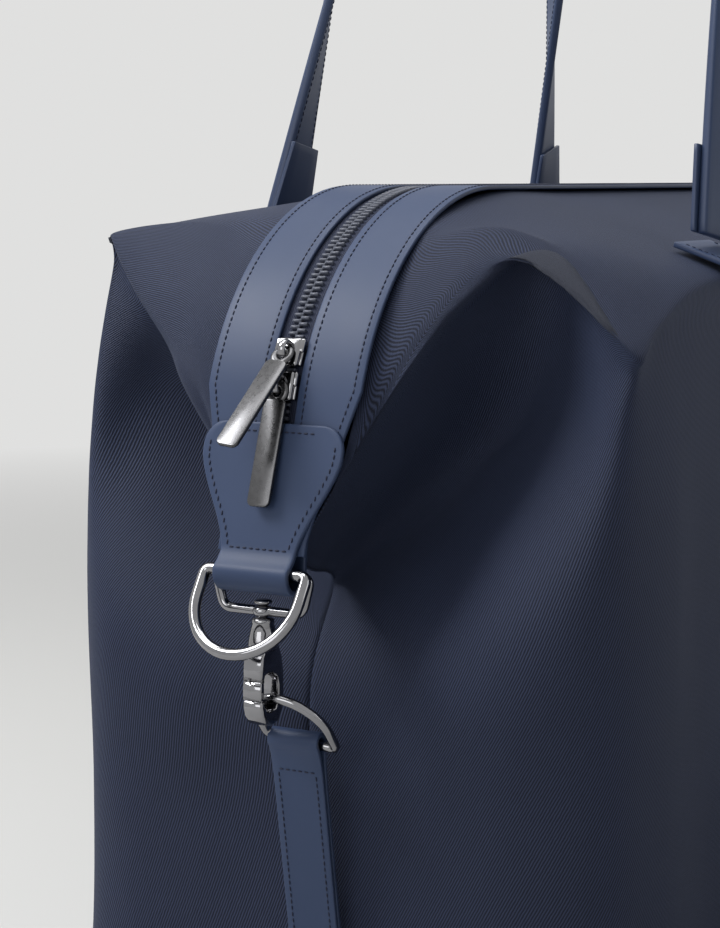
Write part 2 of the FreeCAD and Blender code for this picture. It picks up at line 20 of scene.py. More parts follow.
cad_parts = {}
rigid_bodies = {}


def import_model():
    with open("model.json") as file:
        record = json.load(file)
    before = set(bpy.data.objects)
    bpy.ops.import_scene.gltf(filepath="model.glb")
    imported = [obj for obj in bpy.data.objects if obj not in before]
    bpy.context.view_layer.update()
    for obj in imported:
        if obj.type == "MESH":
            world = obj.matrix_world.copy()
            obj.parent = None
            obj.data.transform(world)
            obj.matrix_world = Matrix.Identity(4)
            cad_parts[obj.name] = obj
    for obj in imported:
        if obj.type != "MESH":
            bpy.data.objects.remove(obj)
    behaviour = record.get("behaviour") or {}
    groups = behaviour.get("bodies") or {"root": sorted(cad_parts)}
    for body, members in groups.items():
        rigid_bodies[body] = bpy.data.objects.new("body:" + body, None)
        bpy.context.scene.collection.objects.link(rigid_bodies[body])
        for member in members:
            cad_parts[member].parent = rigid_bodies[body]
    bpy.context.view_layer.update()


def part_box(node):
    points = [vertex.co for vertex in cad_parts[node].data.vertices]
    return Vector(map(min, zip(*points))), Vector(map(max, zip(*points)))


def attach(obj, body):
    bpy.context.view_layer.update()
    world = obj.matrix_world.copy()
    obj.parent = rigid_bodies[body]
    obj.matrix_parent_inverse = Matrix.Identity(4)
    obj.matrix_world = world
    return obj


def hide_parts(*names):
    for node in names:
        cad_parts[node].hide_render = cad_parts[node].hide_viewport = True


log = logging.getLogger("holdall")
MM = 0.001
Flat = tuple[float, float]
Flat3 = tuple[float, float, float]


class End(Enum):
    """An end of the bag, by its sign along X."""

    LEFT = -1
    RIGHT = 1

    @property
    def word(self) -> str:
        """The end's name as it stands in a piece's name."""
        return self.name.lower()


class Side(Enum):
    """A long side of the bag, by its sign along Y."""

    FRONT = -1
    BACK = 1

    @property
    def word(self) -> str:
        """The side's name as it stands in a piece's name."""
        return self.name.lower()


# ------------------------------------------------------------------ node helpers


class NodeSheet:
    """A small hand for building a node tree."""

    def __init__(self, tree: bpy.types.NodeTree) -> None:
        """Take the tree that the nodes go in."""
        self.tree = tree

    def add(self, kind: str, **values: object) -> bpy.types.Node:
        """Add a node and set its properties and its inputs.

        Args:
            kind: the node's type name without ShaderNode.
            values: a property, or an input's name with _ for spaces.

        Returns:
            The node.
        """
        node = self.tree.nodes.new("ShaderNode" + kind)
        for name, value in values.items():
            if hasattr(node, name):
                setattr(node, name, value)
            else:
                node.inputs[name.replace("_", " ")].default_value = value
        return node

    def link(self, source: bpy.types.NodeSocket, target: bpy.types.NodeSocket) -> None:
        """Join an output to an input."""
        self.tree.links.new(source, target)


def new_group(name: str, inputs: dict[str, float], outputs: dict[str, str]) -> NodeSheet:
    """Start a shader node group with named sockets.

    Args:
        name: the group's name.
        inputs: each float input with its default value.
        outputs: each output with its socket type.

    Returns:
        The sheet of the group's tree, with its input and output nodes in it.
    """
    tree = bpy.data.node_groups.new(name, "ShaderNodeTree")
    tree.interface.new_socket("Vector", in_out="INPUT", socket_type="NodeSocketVector")
    for label, value in inputs.items():
        socket = tree.interface.new_socket(label, in_out="INPUT", socket_type="NodeSocketFloat")
        socket.default_value = value
    for label, kind in outputs.items():
        tree.interface.new_socket(label, in_out="OUTPUT", socket_type=kind)
    tree.nodes.new("NodeGroupInput")
    tree.nodes.new("NodeGroupOutput")
    return NodeSheet(tree)


def group_ends(sheet: NodeSheet) -> tuple[bpy.types.Node, bpy.types.Node]:
    """The input node and the output node of a group."""
    nodes = sheet.tree.nodes
    return nodes["Group Input"], nodes["Group Output"]


def twill_group() -> bpy.types.NodeTree:
    """Diagonal ribs of a twill, broken along each rib by the yarn's own turns."""
    known = bpy.data.node_groups.get("twill_weave")
    if known:
        return known
    sheet = new_group("twill_weave", {"Slope": 1.05, "Rib Scale": 300.0, "Yarn Scale": 520.0},
                      {"Rib": "NodeSocketFloat", "Height": "NodeSocketFloat"})
    start, end = group_ends(sheet)
    turn = sheet.add("VectorRotate", rotation_type="Z_AXIS")
    sheet.link(start.outputs["Vector"], turn.inputs["Vector"])
    sheet.link(start.outputs["Slope"], turn.inputs["Angle"])
    rib = sheet.add("TexWave", bands_direction="X", Distortion=1.1, Detail=1.5)
    rib.inputs["Detail Scale"].default_value = 1.6
    sheet.link(turn.outputs["Vector"], rib.inputs["Vector"])
    sheet.link(start.outputs["Rib Scale"], rib.inputs["Scale"])
    yarn = sheet.add("TexWave", bands_direction="Y", Distortion=0.6)
    sheet.link(turn.outputs["Vector"], yarn.inputs["Vector"])
    sheet.link(start.outputs["Yarn Scale"], yarn.inputs["Scale"])
    mixed = sheet.add("Math", operation="MULTIPLY_ADD")
    mixed.inputs[1].default_value = 0.22
    sheet.link(yarn.outputs["Fac"], mixed.inputs[0])
    sheet.link(rib.outputs["Fac"], mixed.inputs[2])
    sheet.link(rib.outputs["Fac"], end.inputs["Rib"])
    sheet.link(mixed.outputs[0], end.inputs["Height"])
    return sheet.tree


def grain_group() -> bpy.types.NodeTree:
    """Fine grain for bump and a slow cloud for colour and roughness."""
    known = bpy.data.node_groups.get("grain")
    if known:
        return known
    sheet = new_group("grain", {"Fine Scale": 900.0, "Cloud Scale": 25.0},
                      {"Fine": "NodeSocketFloat", "Cloud": "NodeSocketFloat"})
    start, end = group_ends(sheet)
    fine = sheet.add("TexNoise", Detail=3.0, Roughness=0.6)
    cloud = sheet.add("TexNoise", Detail=4.0, Roughness=0.55)
    for node, label in ((fine, "Fine Scale"), (cloud, "Cloud Scale")):
        sheet.link(start.outputs["Vector"], node.inputs["Vector"])
        sheet.link(start.outputs[label], node.inputs["Scale"])
    sheet.link(fine.outputs["Fac"], end.inputs["Fine"])
    sheet.link(cloud.outputs["Fac"], end.inputs["Cloud"])
    return sheet.tree


def place_group(sheet: NodeSheet, tree: bpy.types.NodeTree, coordinate: str,
                **values: float) -> bpy.types.Node:
    """Place a group in a material, fed by one texture coordinate."""
    node = sheet.tree.nodes.new("ShaderNodeGroup")
    node.node_tree = tree
    for label, value in values.items():
        node.inputs[label.replace("_", " ")].default_value = value
    source = sheet.add("TexCoord")
    sheet.link(source.outputs[coordinate], node.inputs["Vector"])
    return node


def mix_colours(sheet: NodeSheet, mask: bpy.types.NodeSocket, low: Sequence[float],
                high: Sequence[float]) -> bpy.types.NodeSocket:
    """A colour that runs from low to high as the mask runs from 0 to 1."""
    ramp = sheet.add("ValToRGB")
    ramp.color_ramp.elements[0].color = (*low, 1)
    ramp.color_ramp.elements[1].color = (*high, 1)
    sheet.link(mask, ramp.inputs["Fac"])
    return ramp.outputs["Color"]


def start_material(name: str) -> tuple[bpy.types.Material, NodeSheet, bpy.types.Node]:
    """A new material with its sheet and its surface shader."""
    material = bpy.data.materials.new(name)
    material.use_nodes = True
    sheet = NodeSheet(material.node_tree)
    return material, sheet, material.node_tree.nodes["Principled BSDF"]


# ------------------------------------------------------------------ finishes


@dataclass(frozen=True)
class TwillFinish:
    """Fine diagonal twill, matt with a soft sheen."""

    name: str = "navy_twill_cloth"
    dark: tuple = (0.0040, 0.0058, 0.0155)
    light: tuple = (0.038, 0.052, 0.106)
    rib_scale: float = 300.0
    slope: float = math.radians(25)

    def build(self) -> bpy.types.Material:
        """Make the material, drawn along the cloth's own UV map."""
        material, sheet, shader = start_material(self.name)
        weave = place_group(sheet, twill_group(), "UV", Slope=self.slope,
                            Rib_Scale=self.rib_scale)
        grain = place_group(sheet, grain_group(), "Object", Fine_Scale=2600.0, Cloud_Scale=14.0)
        colour = mix_colours(sheet, weave.outputs["Rib"], self.dark, self.light)
        cloud = sheet.add("MixRGB", blend_type="MULTIPLY", Fac=0.30)
        sheet.link(colour, cloud.inputs["Color1"])
        sheet.link(grain.outputs["Cloud"], cloud.inputs["Color2"])
        sheet.link(cloud.outputs["Color"], shader.inputs["Base Color"])
        bump = sheet.add("Bump", Strength=0.55, Distance=0.00028)
        sheet.link(weave.outputs["Height"], bump.inputs["Height"])
        sheet.link(bump.outputs["Normal"], shader.inputs["Normal"])
        shader.inputs["Roughness"].default_value = 0.66
        shader.inputs["Specular IOR Level"].default_value = 0.2
        shader.inputs["Sheen Weight"].default_value = 0.05
        shader.inputs["Sheen Roughness"].default_value = 0.45
        shader.inputs["Sheen Tint"].default_value = (0.35, 0.42, 0.62, 1)
        return material


@dataclass(frozen=True)
class LeatherFinish:
    """Smooth coated leather with a faint grain."""

    name: str
    dark: tuple
    light: tuple
    roughness: float
    grain: float = 0.12

    def build(self) -> bpy.types.Material:
        """Make the material."""
        material, sheet, shader = start_material(self.name)
        grain = place_group(sheet, grain_group(), "Object", Fine_Scale=1500.0, Cloud_Scale=30.0)
        colour = mix_colours(sheet, grain.outputs["Cloud"], self.dark, self.light)
        sheet.link(colour, shader.inputs["Base Color"])
        spread = sheet.add("MapRange")
        spread.inputs["To Min"].default_value = self.roughness - 0.05
        spread.inputs["To Max"].default_value = self.roughness + 0.07
        sheet.link(grain.outputs["Cloud"], spread.inputs["Value"])
        sheet.link(spread.outputs["Result"], shader.inputs["Roughness"])
        shader.inputs["Specular IOR Level"].default_value = 0.3
        bump = sheet.add("Bump", Strength=self.grain, Distance=0.00015)
        sheet.link(grain.outputs["Fine"], bump.inputs["Height"])
        sheet.link(bump.outputs["Normal"], shader.inputs["Normal"])
        return material


@dataclass(frozen=True)
class MetalFinish:
    """Polished dark plating with faint rubbing."""

    name: str
    tone: tuple
    roughness: float

    def build(self) -> bpy.types.Material:
        """Make the material."""
        material, sheet, shader = start_material(self.name)
        shader.inputs["Metallic"].default_value = 1.0
        grain = place_group(sheet, grain_group(), "Object", Fine_Scale=500.0, Cloud_Scale=160.0)
        dim = tuple(part * 0.8 for part in self.tone)
        sheet.link(mix_colours(sheet, grain.outputs["Cloud"], dim, self.tone),
                   shader.inputs["Base Color"])
        spread = sheet.add("MapRange")
        spread.inputs["To Min"].default_value = self.roughness * 0.7
        spread.inputs["To Max"].default_value = self.roughness * 1.5
        sheet.link(grain.outputs["Fine"], spread.inputs["Value"])
        sheet.link(spread.outputs["Result"], shader.inputs["Roughness"])
        return material


@dataclass
class Finishes:
    """Every finish of the bag, built once."""

    twill: bpy.types.Material = field(init=False)
    leather: bpy.types.Material = field(init=False)
    edge: bpy.types.Material = field(init=False)
    thread: bpy.types.Material = field(init=False)
    tape: bpy.types.Material = field(init=False)
    tooth: bpy.types.Material = field(init=False)
    metal: bpy.types.Material = field(init=False)
    pull_metal: bpy.types.Material = field(init=False)
    lining: bpy.types.Material = field(init=False)
    board: bpy.types.Material = field(init=False)

    def __post_init__(self) -> None:
        """Build the materials."""
        self.twill = TwillFinish().build()
        self.leather = LeatherFinish("navy_leather", (0.026, 0.044, 0.098),
                                     (0.033, 0.054, 0.116), 0.50).build()
        self.edge = LeatherFinish("painted_edge", (0.030, 0.046, 0.098),
                                  (0.040, 0.060, 0.120), 0.34, 0.04).build()
        self.thread = LeatherFinish("navy_thread", (0.008, 0.011, 0.030),
                                    (0.014, 0.019, 0.045), 0.6, 0.3).build()
        self.tape = TwillFinish("woven_zip_tape", (0.012, 0.016, 0.035),
                                (0.030, 0.038, 0.075), 420.0, 0.0).build()
        self.tooth = LeatherFinish("moulded_teeth", (0.070, 0.078, 0.105),
                                   (0.095, 0.105, 0.140), 0.36, 0.08).build()
        self.metal = MetalFinish("gunmetal", (0.30, 0.30, 0.315), 0.09).build()
        self.pull_metal = MetalFinish("brushed_gunmetal", (0.115, 0.115, 0.12), 0.26).build()
        self.lining = TwillFinish("plain_lining", (0.030, 0.034, 0.050),
                                  (0.050, 0.056, 0.080), 500.0, 0.0).build()
        self.board = LeatherFinish("base_board", (0.02, 0.02, 0.022),
                                   (0.03, 0.03, 0.032), 0.7).build()


# ------------------------------------------------------------------ mesh helpers


def make_piece(name: str, bm: bmesh.types.BMesh, *materials: bpy.types.Material,
               outward: bool = True) -> bpy.types.Object:
    """Turn a bmesh into a smooth object at the origin.

    Args:
        name: the piece's name.
        bm: its shape, which is freed.
        materials: its material slots in order.
        outward: whether to point a closed shape's faces outwards.

    Returns:
        The object.
    """
    if outward:
        bmesh.ops.recalc_face_normals(bm, faces=bm.faces[:])
    mesh = bpy.data.meshes.new(name)
    bm.to_mesh(mesh)
    bm.free()
    for polygon in mesh.polygons:
        polygon.use_smooth = True
    piece = bpy.data.objects.new(name, mesh)
    bpy.context.scene.collection.objects.link(piece)
    for material in materials:
        mesh.materials.append(material)
    return piece


def settle(piece: bpy.types.Object, body: str, slot: str, *nodes: str) -> bpy.types.Object:
    """Ride a piece on a body and hide the nodes that it stands for."""
    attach(piece, body)
    if nodes:
        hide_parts(*nodes)
    log.info("%s rides on %s", piece.name, body)
    return piece


def soften(piece: bpy.types.Object, width: float, segments: int = 2, angle: float = 40) -> None:
    """Round a piece's sharp edges with a bevel modifier."""
    bevel = piece.modifiers.new("edge_round", "BEVEL")
    bevel.width = width
    bevel.segments = segments
    bevel.limit_method = "ANGLE"
    bevel.angle_limit = math.radians(angle)


def catmull(points: Sequence[Vector], part: float) -> Vector:
    """A point of the smooth curve through points, at part 0..len(points) - 1."""
    last = len(points) - 1
    index = min(int(part), last - 1)
    step = part - index
    before = points[max(index - 1, 0)]
    start, end = points[index], points[index + 1]
    after = points[min(index + 2, last)]
    return 0.5 * ((2 * start) + (end - before) * step
                  + (2 * before - 5 * start + 4 * end - after) * step ** 2
                  + (3 * start - before - 3 * end + after) * step ** 3)


def rounded_run(corners: Sequence[Flat], radius: float, steps: int = 6,
                closed: bool = True) -> list[Flat]:
    """A run of flat points whose corners are turned with small arcs.

    Args:
        corners: the sharp corners.
        radius: how far from each corner the turn starts.
        steps: points in each turn.
        closed: whether the last corner joins the first.

    Returns:
        The rounded run.
    """
    run: list[Flat] = []
    count = len(corners)
    for number, corner in enumerate(corners):
        here = Vector(corner)
        if not closed and number in (0, count - 1):
            run.append(corner)
            continue
        before = Vector(corners[number - 1]) - here
        after = Vector(corners[(number + 1) % count]) - here
        start = here + before.normalized() * min(radius, before.length * 0.49)
        end = here + after.normalized() * min(radius, after.length * 0.49)
        for step in range(steps + 1):
            part = step / steps
            point = (1 - part) ** 2 * start + 2 * part * (1 - part) * here + part ** 2 * end
            run.append((point.x, point.y))
    return run


def sweep(bm: bmesh.types.BMesh, run: Sequence[Flat],
          to_world: Callable[[float, float, float], Vector],
          within: Sequence[float] | float, through: Sequence[float] | float,
          closed: bool = False, segments: int = 14) -> None:
    """Sweep an oval section along a flat run.

    Args:
        bm: the mesh that takes the tube.
        run: points of the run in its own plane.
        to_world: maps two plane coordinates and a depth to a point.
        within: the section's half size in the plane, one number or one per point.
        through: the section's half size across the plane.
        closed: whether the run is a ring.
        segments: sides of the section.
    """
    count = len(run)
    inner = [within] * count if isinstance(within, float) else list(within)
    outer = [through] * count if isinstance(through, float) else list(through)
    deep = to_world(0, 0, 1) - to_world(0, 0, 0)
    rings = []
    for number, (across, up) in enumerate(run):
        last = run[number - 1] if closed or number else run[number]
        following = run[(number + 1) % count] if closed or number < count - 1 else run[number]
        way = Vector((following[0] - last[0], following[1] - last[1])).normalized()
        centre = to_world(across, up, 0)
        flat = to_world(across - way.y, up + way.x, 0) - centre
        along = to_world(across + way.x, up + way.y, 0) - centre
        matrix = Matrix((flat * inner[number], deep * outer[number], along)).transposed().to_4x4()
        matrix.translation = centre
        ends = not closed and number in (0, count - 1)
        made = bmesh.ops.create_circle(bm, segments=segments, radius=1, matrix=matrix,
                                       cap_ends=ends)
        rings.append(made["verts"])
    pairs = list(zip(rings, rings[1:])) + ([(rings[-1], rings[0])] if closed else [])
    for first, second in pairs:
        edges = {edge for ring in (first, second) for vert in ring for edge in vert.link_edges
                 if all(end in ring for end in edge.verts)}
        bmesh.ops.bridge_loops(bm, edges=list(edges))


def block(bm: bmesh.types.BMesh, centre: Vector, axes: Sequence[Vector],
          spans: Sequence[float], round_by: float, segments: int = 2) -> list:
    """Add a block with rounded edges, centred and turned to three axes."""
    turn = Matrix(axes).transposed().to_4x4()
    turn.translation = centre
    matrix = turn @ Matrix.Diagonal((*spans, 1))
    made = bmesh.ops.create_cube(bm, size=1, matrix=matrix)["verts"]
    edges = list({edge for vert in made for edge in vert.link_edges})
    if round_by:
        bmesh.ops.bevel(bm, geom=edges, offset=round_by, segments=segments, affect="EDGES",
                        profile=0.5, material=-1)
    return made


@dataclass
class Strip:
    """A flat strip of leather or cloth laid along a route.

    spot maps (across, run) to a point of the strip's under side, half gives the
    half width at a run, and inside is a point that the upper side turns from.
    """

    name: str
    start: float
    end: float
    half: Callable[[float], float]
    spot: Callable[[float, float], Vector]
    thickness: float
    inside: Vector
    rows: int = 40
    columns: int = 8

    def frame(self, across: float, run: float) -> tuple[Vector, Vector, Vector]:
        """Point, way along and way out of the strip at one place."""
        step = 0.2 * MM
        point = self.spot(across, run)
        along = (self.spot(across, run + step) - self.spot(across, run - step)).normalized()
        sideways = (self.spot(across + step, run) - self.spot(across - step, run)).normalized()
        out = sideways.cross(along).normalized()
        return point, along, out * self.turned()

    def turned(self) -> float:
        """The sign that makes the strip's normal point away from inside."""
        middle = (self.start + self.end) / 2
        step = 0.5 * MM
        along = self.spot(0, middle + step) - self.spot(0, middle - step)
        sideways = self.spot(step, middle) - self.spot(-step, middle)
        away = self.spot(0, middle) - self.inside
        return 1.0 if sideways.cross(along).dot(away) > 0 else -1.0

    def build(self, *materials: bpy.types.Material,
              round_by: float = 0.45 * MM) -> bpy.types.Object:
        """Make the strip with its thickness, its painted rim and rounded edges."""
        bm = bmesh.new()
        bmesh.ops.create_grid(bm, x_segments=self.columns, y_segments=self.rows, size=0.5,
                              calc_uvs=True)
        maps = bm.loops.layers.uv.verify()
        for face in bm.faces:
            for loop in face.loops:
                run = self.start + (loop.vert.co.y + 0.5) * (self.end - self.start)
                loop[maps].uv = (loop.vert.co.x * 2 * self.half(run), run)
        for vert in bm.verts:
            run = self.start + (vert.co.y + 0.5) * (self.end - self.start)
            vert.co = self.spot(vert.co.x * 2 * self.half(run), run)
        if self.turned() < 0:
            bmesh.ops.reverse_faces(bm, faces=bm.faces[:])
        piece = make_piece(self.name, bm, *materials, outward=False)
        wall = piece.modifiers.new("thickness", "SOLIDIFY")
        wall.thickness = self.thickness
        wall.offset = 1
        wall.use_even_offset = True
        wall.material_offset_rim = len(materials) - 1
        if round_by:
            soften(piece, round_by)
        return piece

    def stitched(self, bm: bmesh.types.BMesh, inset: float, pitch: float = 2.5 * MM,
                 start: float | None = None, end: float | None = None,
                 sides: Iterable[int] = (-1, 1)) -> None:
        """Sew along the strip's long edges, a set way in from them."""
        first = self.start + pitch if start is None else start
        last = self.end - pitch if end is None else end
        for side in sides:
            for number in range(int((last - first) / pitch)):
                run = first + (number + 0.5) * pitch
                sew(bm, *self.frame(side * (self.half(run) - inset), run), self.thickness)

    def crossed(self, bm: bmesh.types.BMesh, run: float, inset: float,
                pitch: float = 2.5 * MM) -> None:
        """Sew one row across the strip."""
        reach = self.half(run) - inset
        count = max(int(2 * reach / pitch), 1)
        for number in range(count):
            across = -reach + (number + 0.5) * 2 * reach / count
            point, along, out = self.frame(across, run)
            sew(bm, point, along.cross(out), out, self.thickness)


def stitch_shape() -> bpy.types.Mesh:
    """The one low stitch that every row repeats."""
    known = bpy.data.meshes.get("one_stitch")
    if known:
        return known
    bm = bmesh.new()
    bmesh.ops.create_uvsphere(bm, u_segments=6, v_segments=4, radius=1)
    mesh = bpy.data.meshes.new("one_stitch")
    bm.to_mesh(mesh)
    bm.free()
    return mesh


def sew(bm: bmesh.types.BMesh, point: Vector, along: Vector, out: Vector, height: float,
        length: float = 2.0 * MM, thick: float = 0.36 * MM) -> None:
    """Add one sunk stitch on a surface."""
    side = along.cross(out)
    matrix = Matrix((along * length / 2, side * thick, out * thick * 0.8)).transposed().to_4x4()
    matrix.translation = point + out * (height + 0.08 * MM)
    stitch = stitch_shape().copy()
    stitch.transform(matrix)
    bm.from_mesh(stitch)
    bpy.data.meshes.remove(stitch)


# ------------------------------------------------------------------ zip path


@dataclass(frozen=True)
class ZipPath:
    """The zip's route in the middle plane: top, round turn and short fall."""

    ridge: float = 0.320
    crest: float = 0.163
    radius: float = 0.100
    turn: float = math.radians(75)
    fall: float = 0.054

    @property
    def length(self) -> float:
        """From the middle of the top to the end of the fall."""
        return self.crest + self.radius * self.turn + self.fall

    @property
    def turn_end(self) -> float:
        """From the middle of the top to the start of the fall."""
        return self.crest + self.radius * self.turn

    def at(self, run: float) -> tuple[Vector, Vector, Vector]:
        """Point, way towards the right end and way out at a signed run."""
        sign = 1 if run >= 0 else -1
        reach = abs(run)
        if reach <= self.crest:
            return Vector((run, 0, self.ridge)), Vector((1, 0, 0)), Vector((0, 0, 1))
        angle = min((reach - self.crest) / self.radius, self.turn)
        out = Vector((sign * math.sin(angle), 0, math.cos(angle)))
        along = Vector((math.cos(angle), 0, -sign * math.sin(angle)))
        point = Vector((sign * self.crest, 0, self.ridge - self.radius)) + out * self.radius
        point += along * sign * max(reach - self.turn_end, 0)
        return point, along, out

    def on(self, across: float, run: float, height: float = 0.0) -> Vector:
        """A point beside the path, at a height over it."""
        point, _, out = self.at(run)
        return point + Vector((0, across, 0)) + out * height


PATH = ZipPath()


@dataclass(frozen=True)
class Hung:
    """A frame for a part that hangs at one end: x out of the end, z along the hang."""

    end: End
    origin: Vector
    lean: float

    def to(self, out: float, down: float, across: float) -> Vector:
        """World point of a place in this frame."""
        sine, cosine = math.sin(self.lean), math.cos(self.lean)
        sign = self.end.value
        return self.origin + Vector((sign * (out * cosine + down * sine), across,
                                     out * sine - down * cosine))

    def way(self, out: float, down: float, across: float) -> Vector:
        """World direction of a direction in this frame."""
        return self.to(out, down, across) - self.origin


def fall_frame(end: End) -> Hung:
    """The frame of the straight fall at one end, from where the turn stops."""
    point, _, _ = PATH.at(end.value * PATH.turn_end)
    return Hung(end, point, math.pi / 2 - PATH.turn)


# ------------------------------------------------------------------ cloth body


@dataclass
class ClothBody:
    """The twill body: a front and a back cloth that meet in a seam down each end.

    Each cloth is lofted through listed columns. A column runs from the base
    up the wall, into the hollow under the folded ear, out to the fold, and over
    the ear to the zip band.
    """

    finishes: Finishes
    spans: tuple = (12, 13, 11, 8, 3, 8, 8)
    across: int = 118
    skin: float = 0.9 * MM

    def columns(self, side: Side) -> list[tuple[float, list[Flat3]]]:
        """The listed columns of one quarter, in millimetres.

        Args:
            side: the front or the back cloth.

        Returns:
            Pairs of the distance round the base and the column's seven points,
            as (x, y, z) with x out to the end and y out to the side.
        """
        front = side is Side.FRONT
        horn = (230, 117, 268) if front else (215, 107, 302)
        peak = (212, 79, 299) if front else (230, 86, 283)
        slant = (234, 59, 281) if front else (243, 63, 263)
        low_slant = (253, 41, 250) if front else (256, 44, 243)
        crown = (212, 62, 306) if front else (214, 66, 305)
        lift = 0 if front else 1
        tuck = 0 if front else 8
        return [
            (0, [(0, 121.5, 1.5), (0, 125, 95), (0, 125, 190), (0, 121, 262), (0, 116, 284),
                 (0, 113, 290), (0, 74, 304), (0, 29, 319.4)]),
            (100, [(100, 121.5, 1.5), (100, 124, 95), (100, 124, 190), (101, 122, 262),
                   (101, 116, 284), (101, 113, 290), (101, 74, 304), (100, 29, 319.4)]),
            (160, [(160, 121.5, 1.5), (161, 122 - tuck / 2, 95), (163, 123 - tuck / 2, 190),
                   (164, 121 - tuck / 2, 260 + 8 * lift), (164, 117 - tuck / 2, 281 + 11 * lift),
                   (164, 112 - tuck / 2, 288 + 12 * lift), (162, 76, 303 + 7 * lift),
                   (160, 29, 319.4)]),
            (205, [(205, 121.5, 1.5), (206, 122 - tuck, 95), (208, 122 - tuck, 188),
                   (207, 120 - tuck, 248 + 18 * lift), (207, 118 - tuck, 270 + 22 * lift),
                   (206, 116 - tuck, 276 + 25 * lift), (202, 80, 301 + 7 * lift), (203, 29, 311)]),
            (232, [(230, 112, 1.5), (233, 113 - tuck, 95), (236, 113 - tuck, 182),
                   (228, 113 - tuck, 238), (horn[0] - 5, horn[1] - 1, horn[2] - 9), horn, crown,
                   (225, 29, 297.5)]),
            (260, [(239.5, 87, 1.5), (245, 87, 92), (250, 87, 168), (208, 86, 246),
                   (peak[0] - 9, peak[1] - 1, peak[2] - 7), peak,
                   ((peak[0] + 246) / 2 + 2, 55, (peak[2] + 274) / 2 + 4), (244.5, 29, 274.5)]),
            (290, [(239.5, 57, 1.5), (246, 57, 88), (250, 57, 155), (198, 57, 232),
                   (slant[0] - 15, slant[1] - 2, slant[2] - 6), slant,
                   ((slant[0] + 258) / 2 + 3, 45, (slant[2] + 246) / 2 + 3), (257.5, 29, 246)]),
            (318, [(239.5, 28, 1.5), (244, 28, 84), (246, 29, 146), (206, 32, 208),
                   (low_slant[0] - 18, low_slant[1] - 3, low_slant[2] - 9), low_slant,
                   (259, 33, 236), (265, 24, 217)]),
            (342.5, [(239.5, 0, 1.5), (243, 0, 80), (243, 0, 142), (226, 0, 176), (242, 0, 183),
                     (256, 0, 187), (266, 6, 190), (272, 12, 193)]),
        ]

    def column_at(self, side: Side, reach: float) -> list[Vector]:
        """The column at any distance round the base, between the listed ones."""
        keys = self.columns(side)
        part = 0.0
        for number in range(len(keys) - 1):
            low, high = keys[number][0], keys[number + 1][0]
            if low <= reach <= high:
                part = number + (reach - low) / (high - low)
        rows = range(len(keys[0][1]))
        return [catmull([Vector(points[row]) for _, points in keys], part) for row in rows]

    def ripple(self, point: Vector, outward: Vector, part: float) -> Vector:
        """Slow folds and small creases that a soft cloth takes."""
        tall = Vector((point.x * 9, point.y * 9, point.z * 3.2))
        slow = noise.noise(tall + Vector((3.1, 0.4, 7.7)))
        middle = noise.noise(Vector((point.x * 15, point.y * 15, point.z * 6)) + Vector((1, 8, 3)))
        small = noise.noise(Vector((point.x * 34, point.y * 34, point.z * 15)) + Vector((9, 2, 5)))
        free = min(1.0, part * 6) * min(1.0, (1 - part) * 9)
        return outward * free * (slow * 5.2 * MM + middle * 1.8 * MM + small * 0.9 * MM)

    def cloth(self, side: Side) -> bpy.types.Object:
        """Loft one cloth from end seam to end seam."""
        rows = sum(self.spans)
        bm = bmesh.new()
        bmesh.ops.create_grid(bm, x_segments=self.across, y_segments=rows, size=0.5,
                              calc_uvs=True)
        maps = bm.loops.layers.uv.verify()
        whole = self.columns(side)[-1][0]
        stops = [0.0]
        for count in self.spans:
            stops += [stops[-1] + 1 / count * step for step in range(1, count + 1)][-count:]
            stops[-1] = float(round(stops[-1]))
        lines: dict[int, list[Vector]] = {}
        lengths: dict[int, list[float]] = {}
        for column in range(self.across + 1):
            signed = (column / self.across - 0.5) * 2 * whole
            keys = self.column_at(side, abs(signed))
            sign = -1 if signed < 0 else 1
            points = []
            for row, stop in enumerate(stops):
                flat = catmull(keys, stop) * MM
                point = Vector((sign * flat.x, side.value * flat.y, flat.z))
                lengthwise = point.x * 0.55 if abs(flat.x) > 0.2 else 0
                away = Vector((lengthwise, point.y, 0)).normalized()
                points.append(point + self.ripple(point, away, row / rows))
            lines[column] = points
            travelled = [0.0]
            for first, second in zip(points, points[1:]):
                travelled.append(travelled[-1] + (second - first).length)
            lengths[column] = travelled
        spread = [[0.0] * (rows + 1)]
        for column in range(self.across):
            spread.append([past + (lines[column + 1][row] - lines[column][row]).length
                           for row, past in enumerate(spread[-1])])
        half_way = self.across // 2
        for face in bm.faces:
            for loop in face.loops:
                column = round((loop.vert.co.x + 0.5) * self.across)
                row = round((loop.vert.co.y + 0.5) * rows)
                sideways = spread[column][row] - spread[half_way][row]
                loop[maps].uv = (-side.value * sideways, lengths[column][row])
        for vert in bm.verts:
            column = round((vert.co.x + 0.5) * self.across)
            row = round((vert.co.y + 0.5) * rows)
            vert.co = lines[column][row]
        if side is Side.BACK:
            bmesh.ops.reverse_faces(bm, faces=bm.faces[:])
        piece = make_piece(f"{side.word}_cloth", bm, self.finishes.twill, self.finishes.lining,
                           outward=False)
        smooth = piece.modifiers.new("smooth", "SUBSURF")
        smooth.levels = smooth.render_levels = 1
        wall = piece.modifiers.new("skin", "SOLIDIFY")
        wall.thickness = self.skin
        wall.offset = -1
        wall.material_offset = 1
        return piece

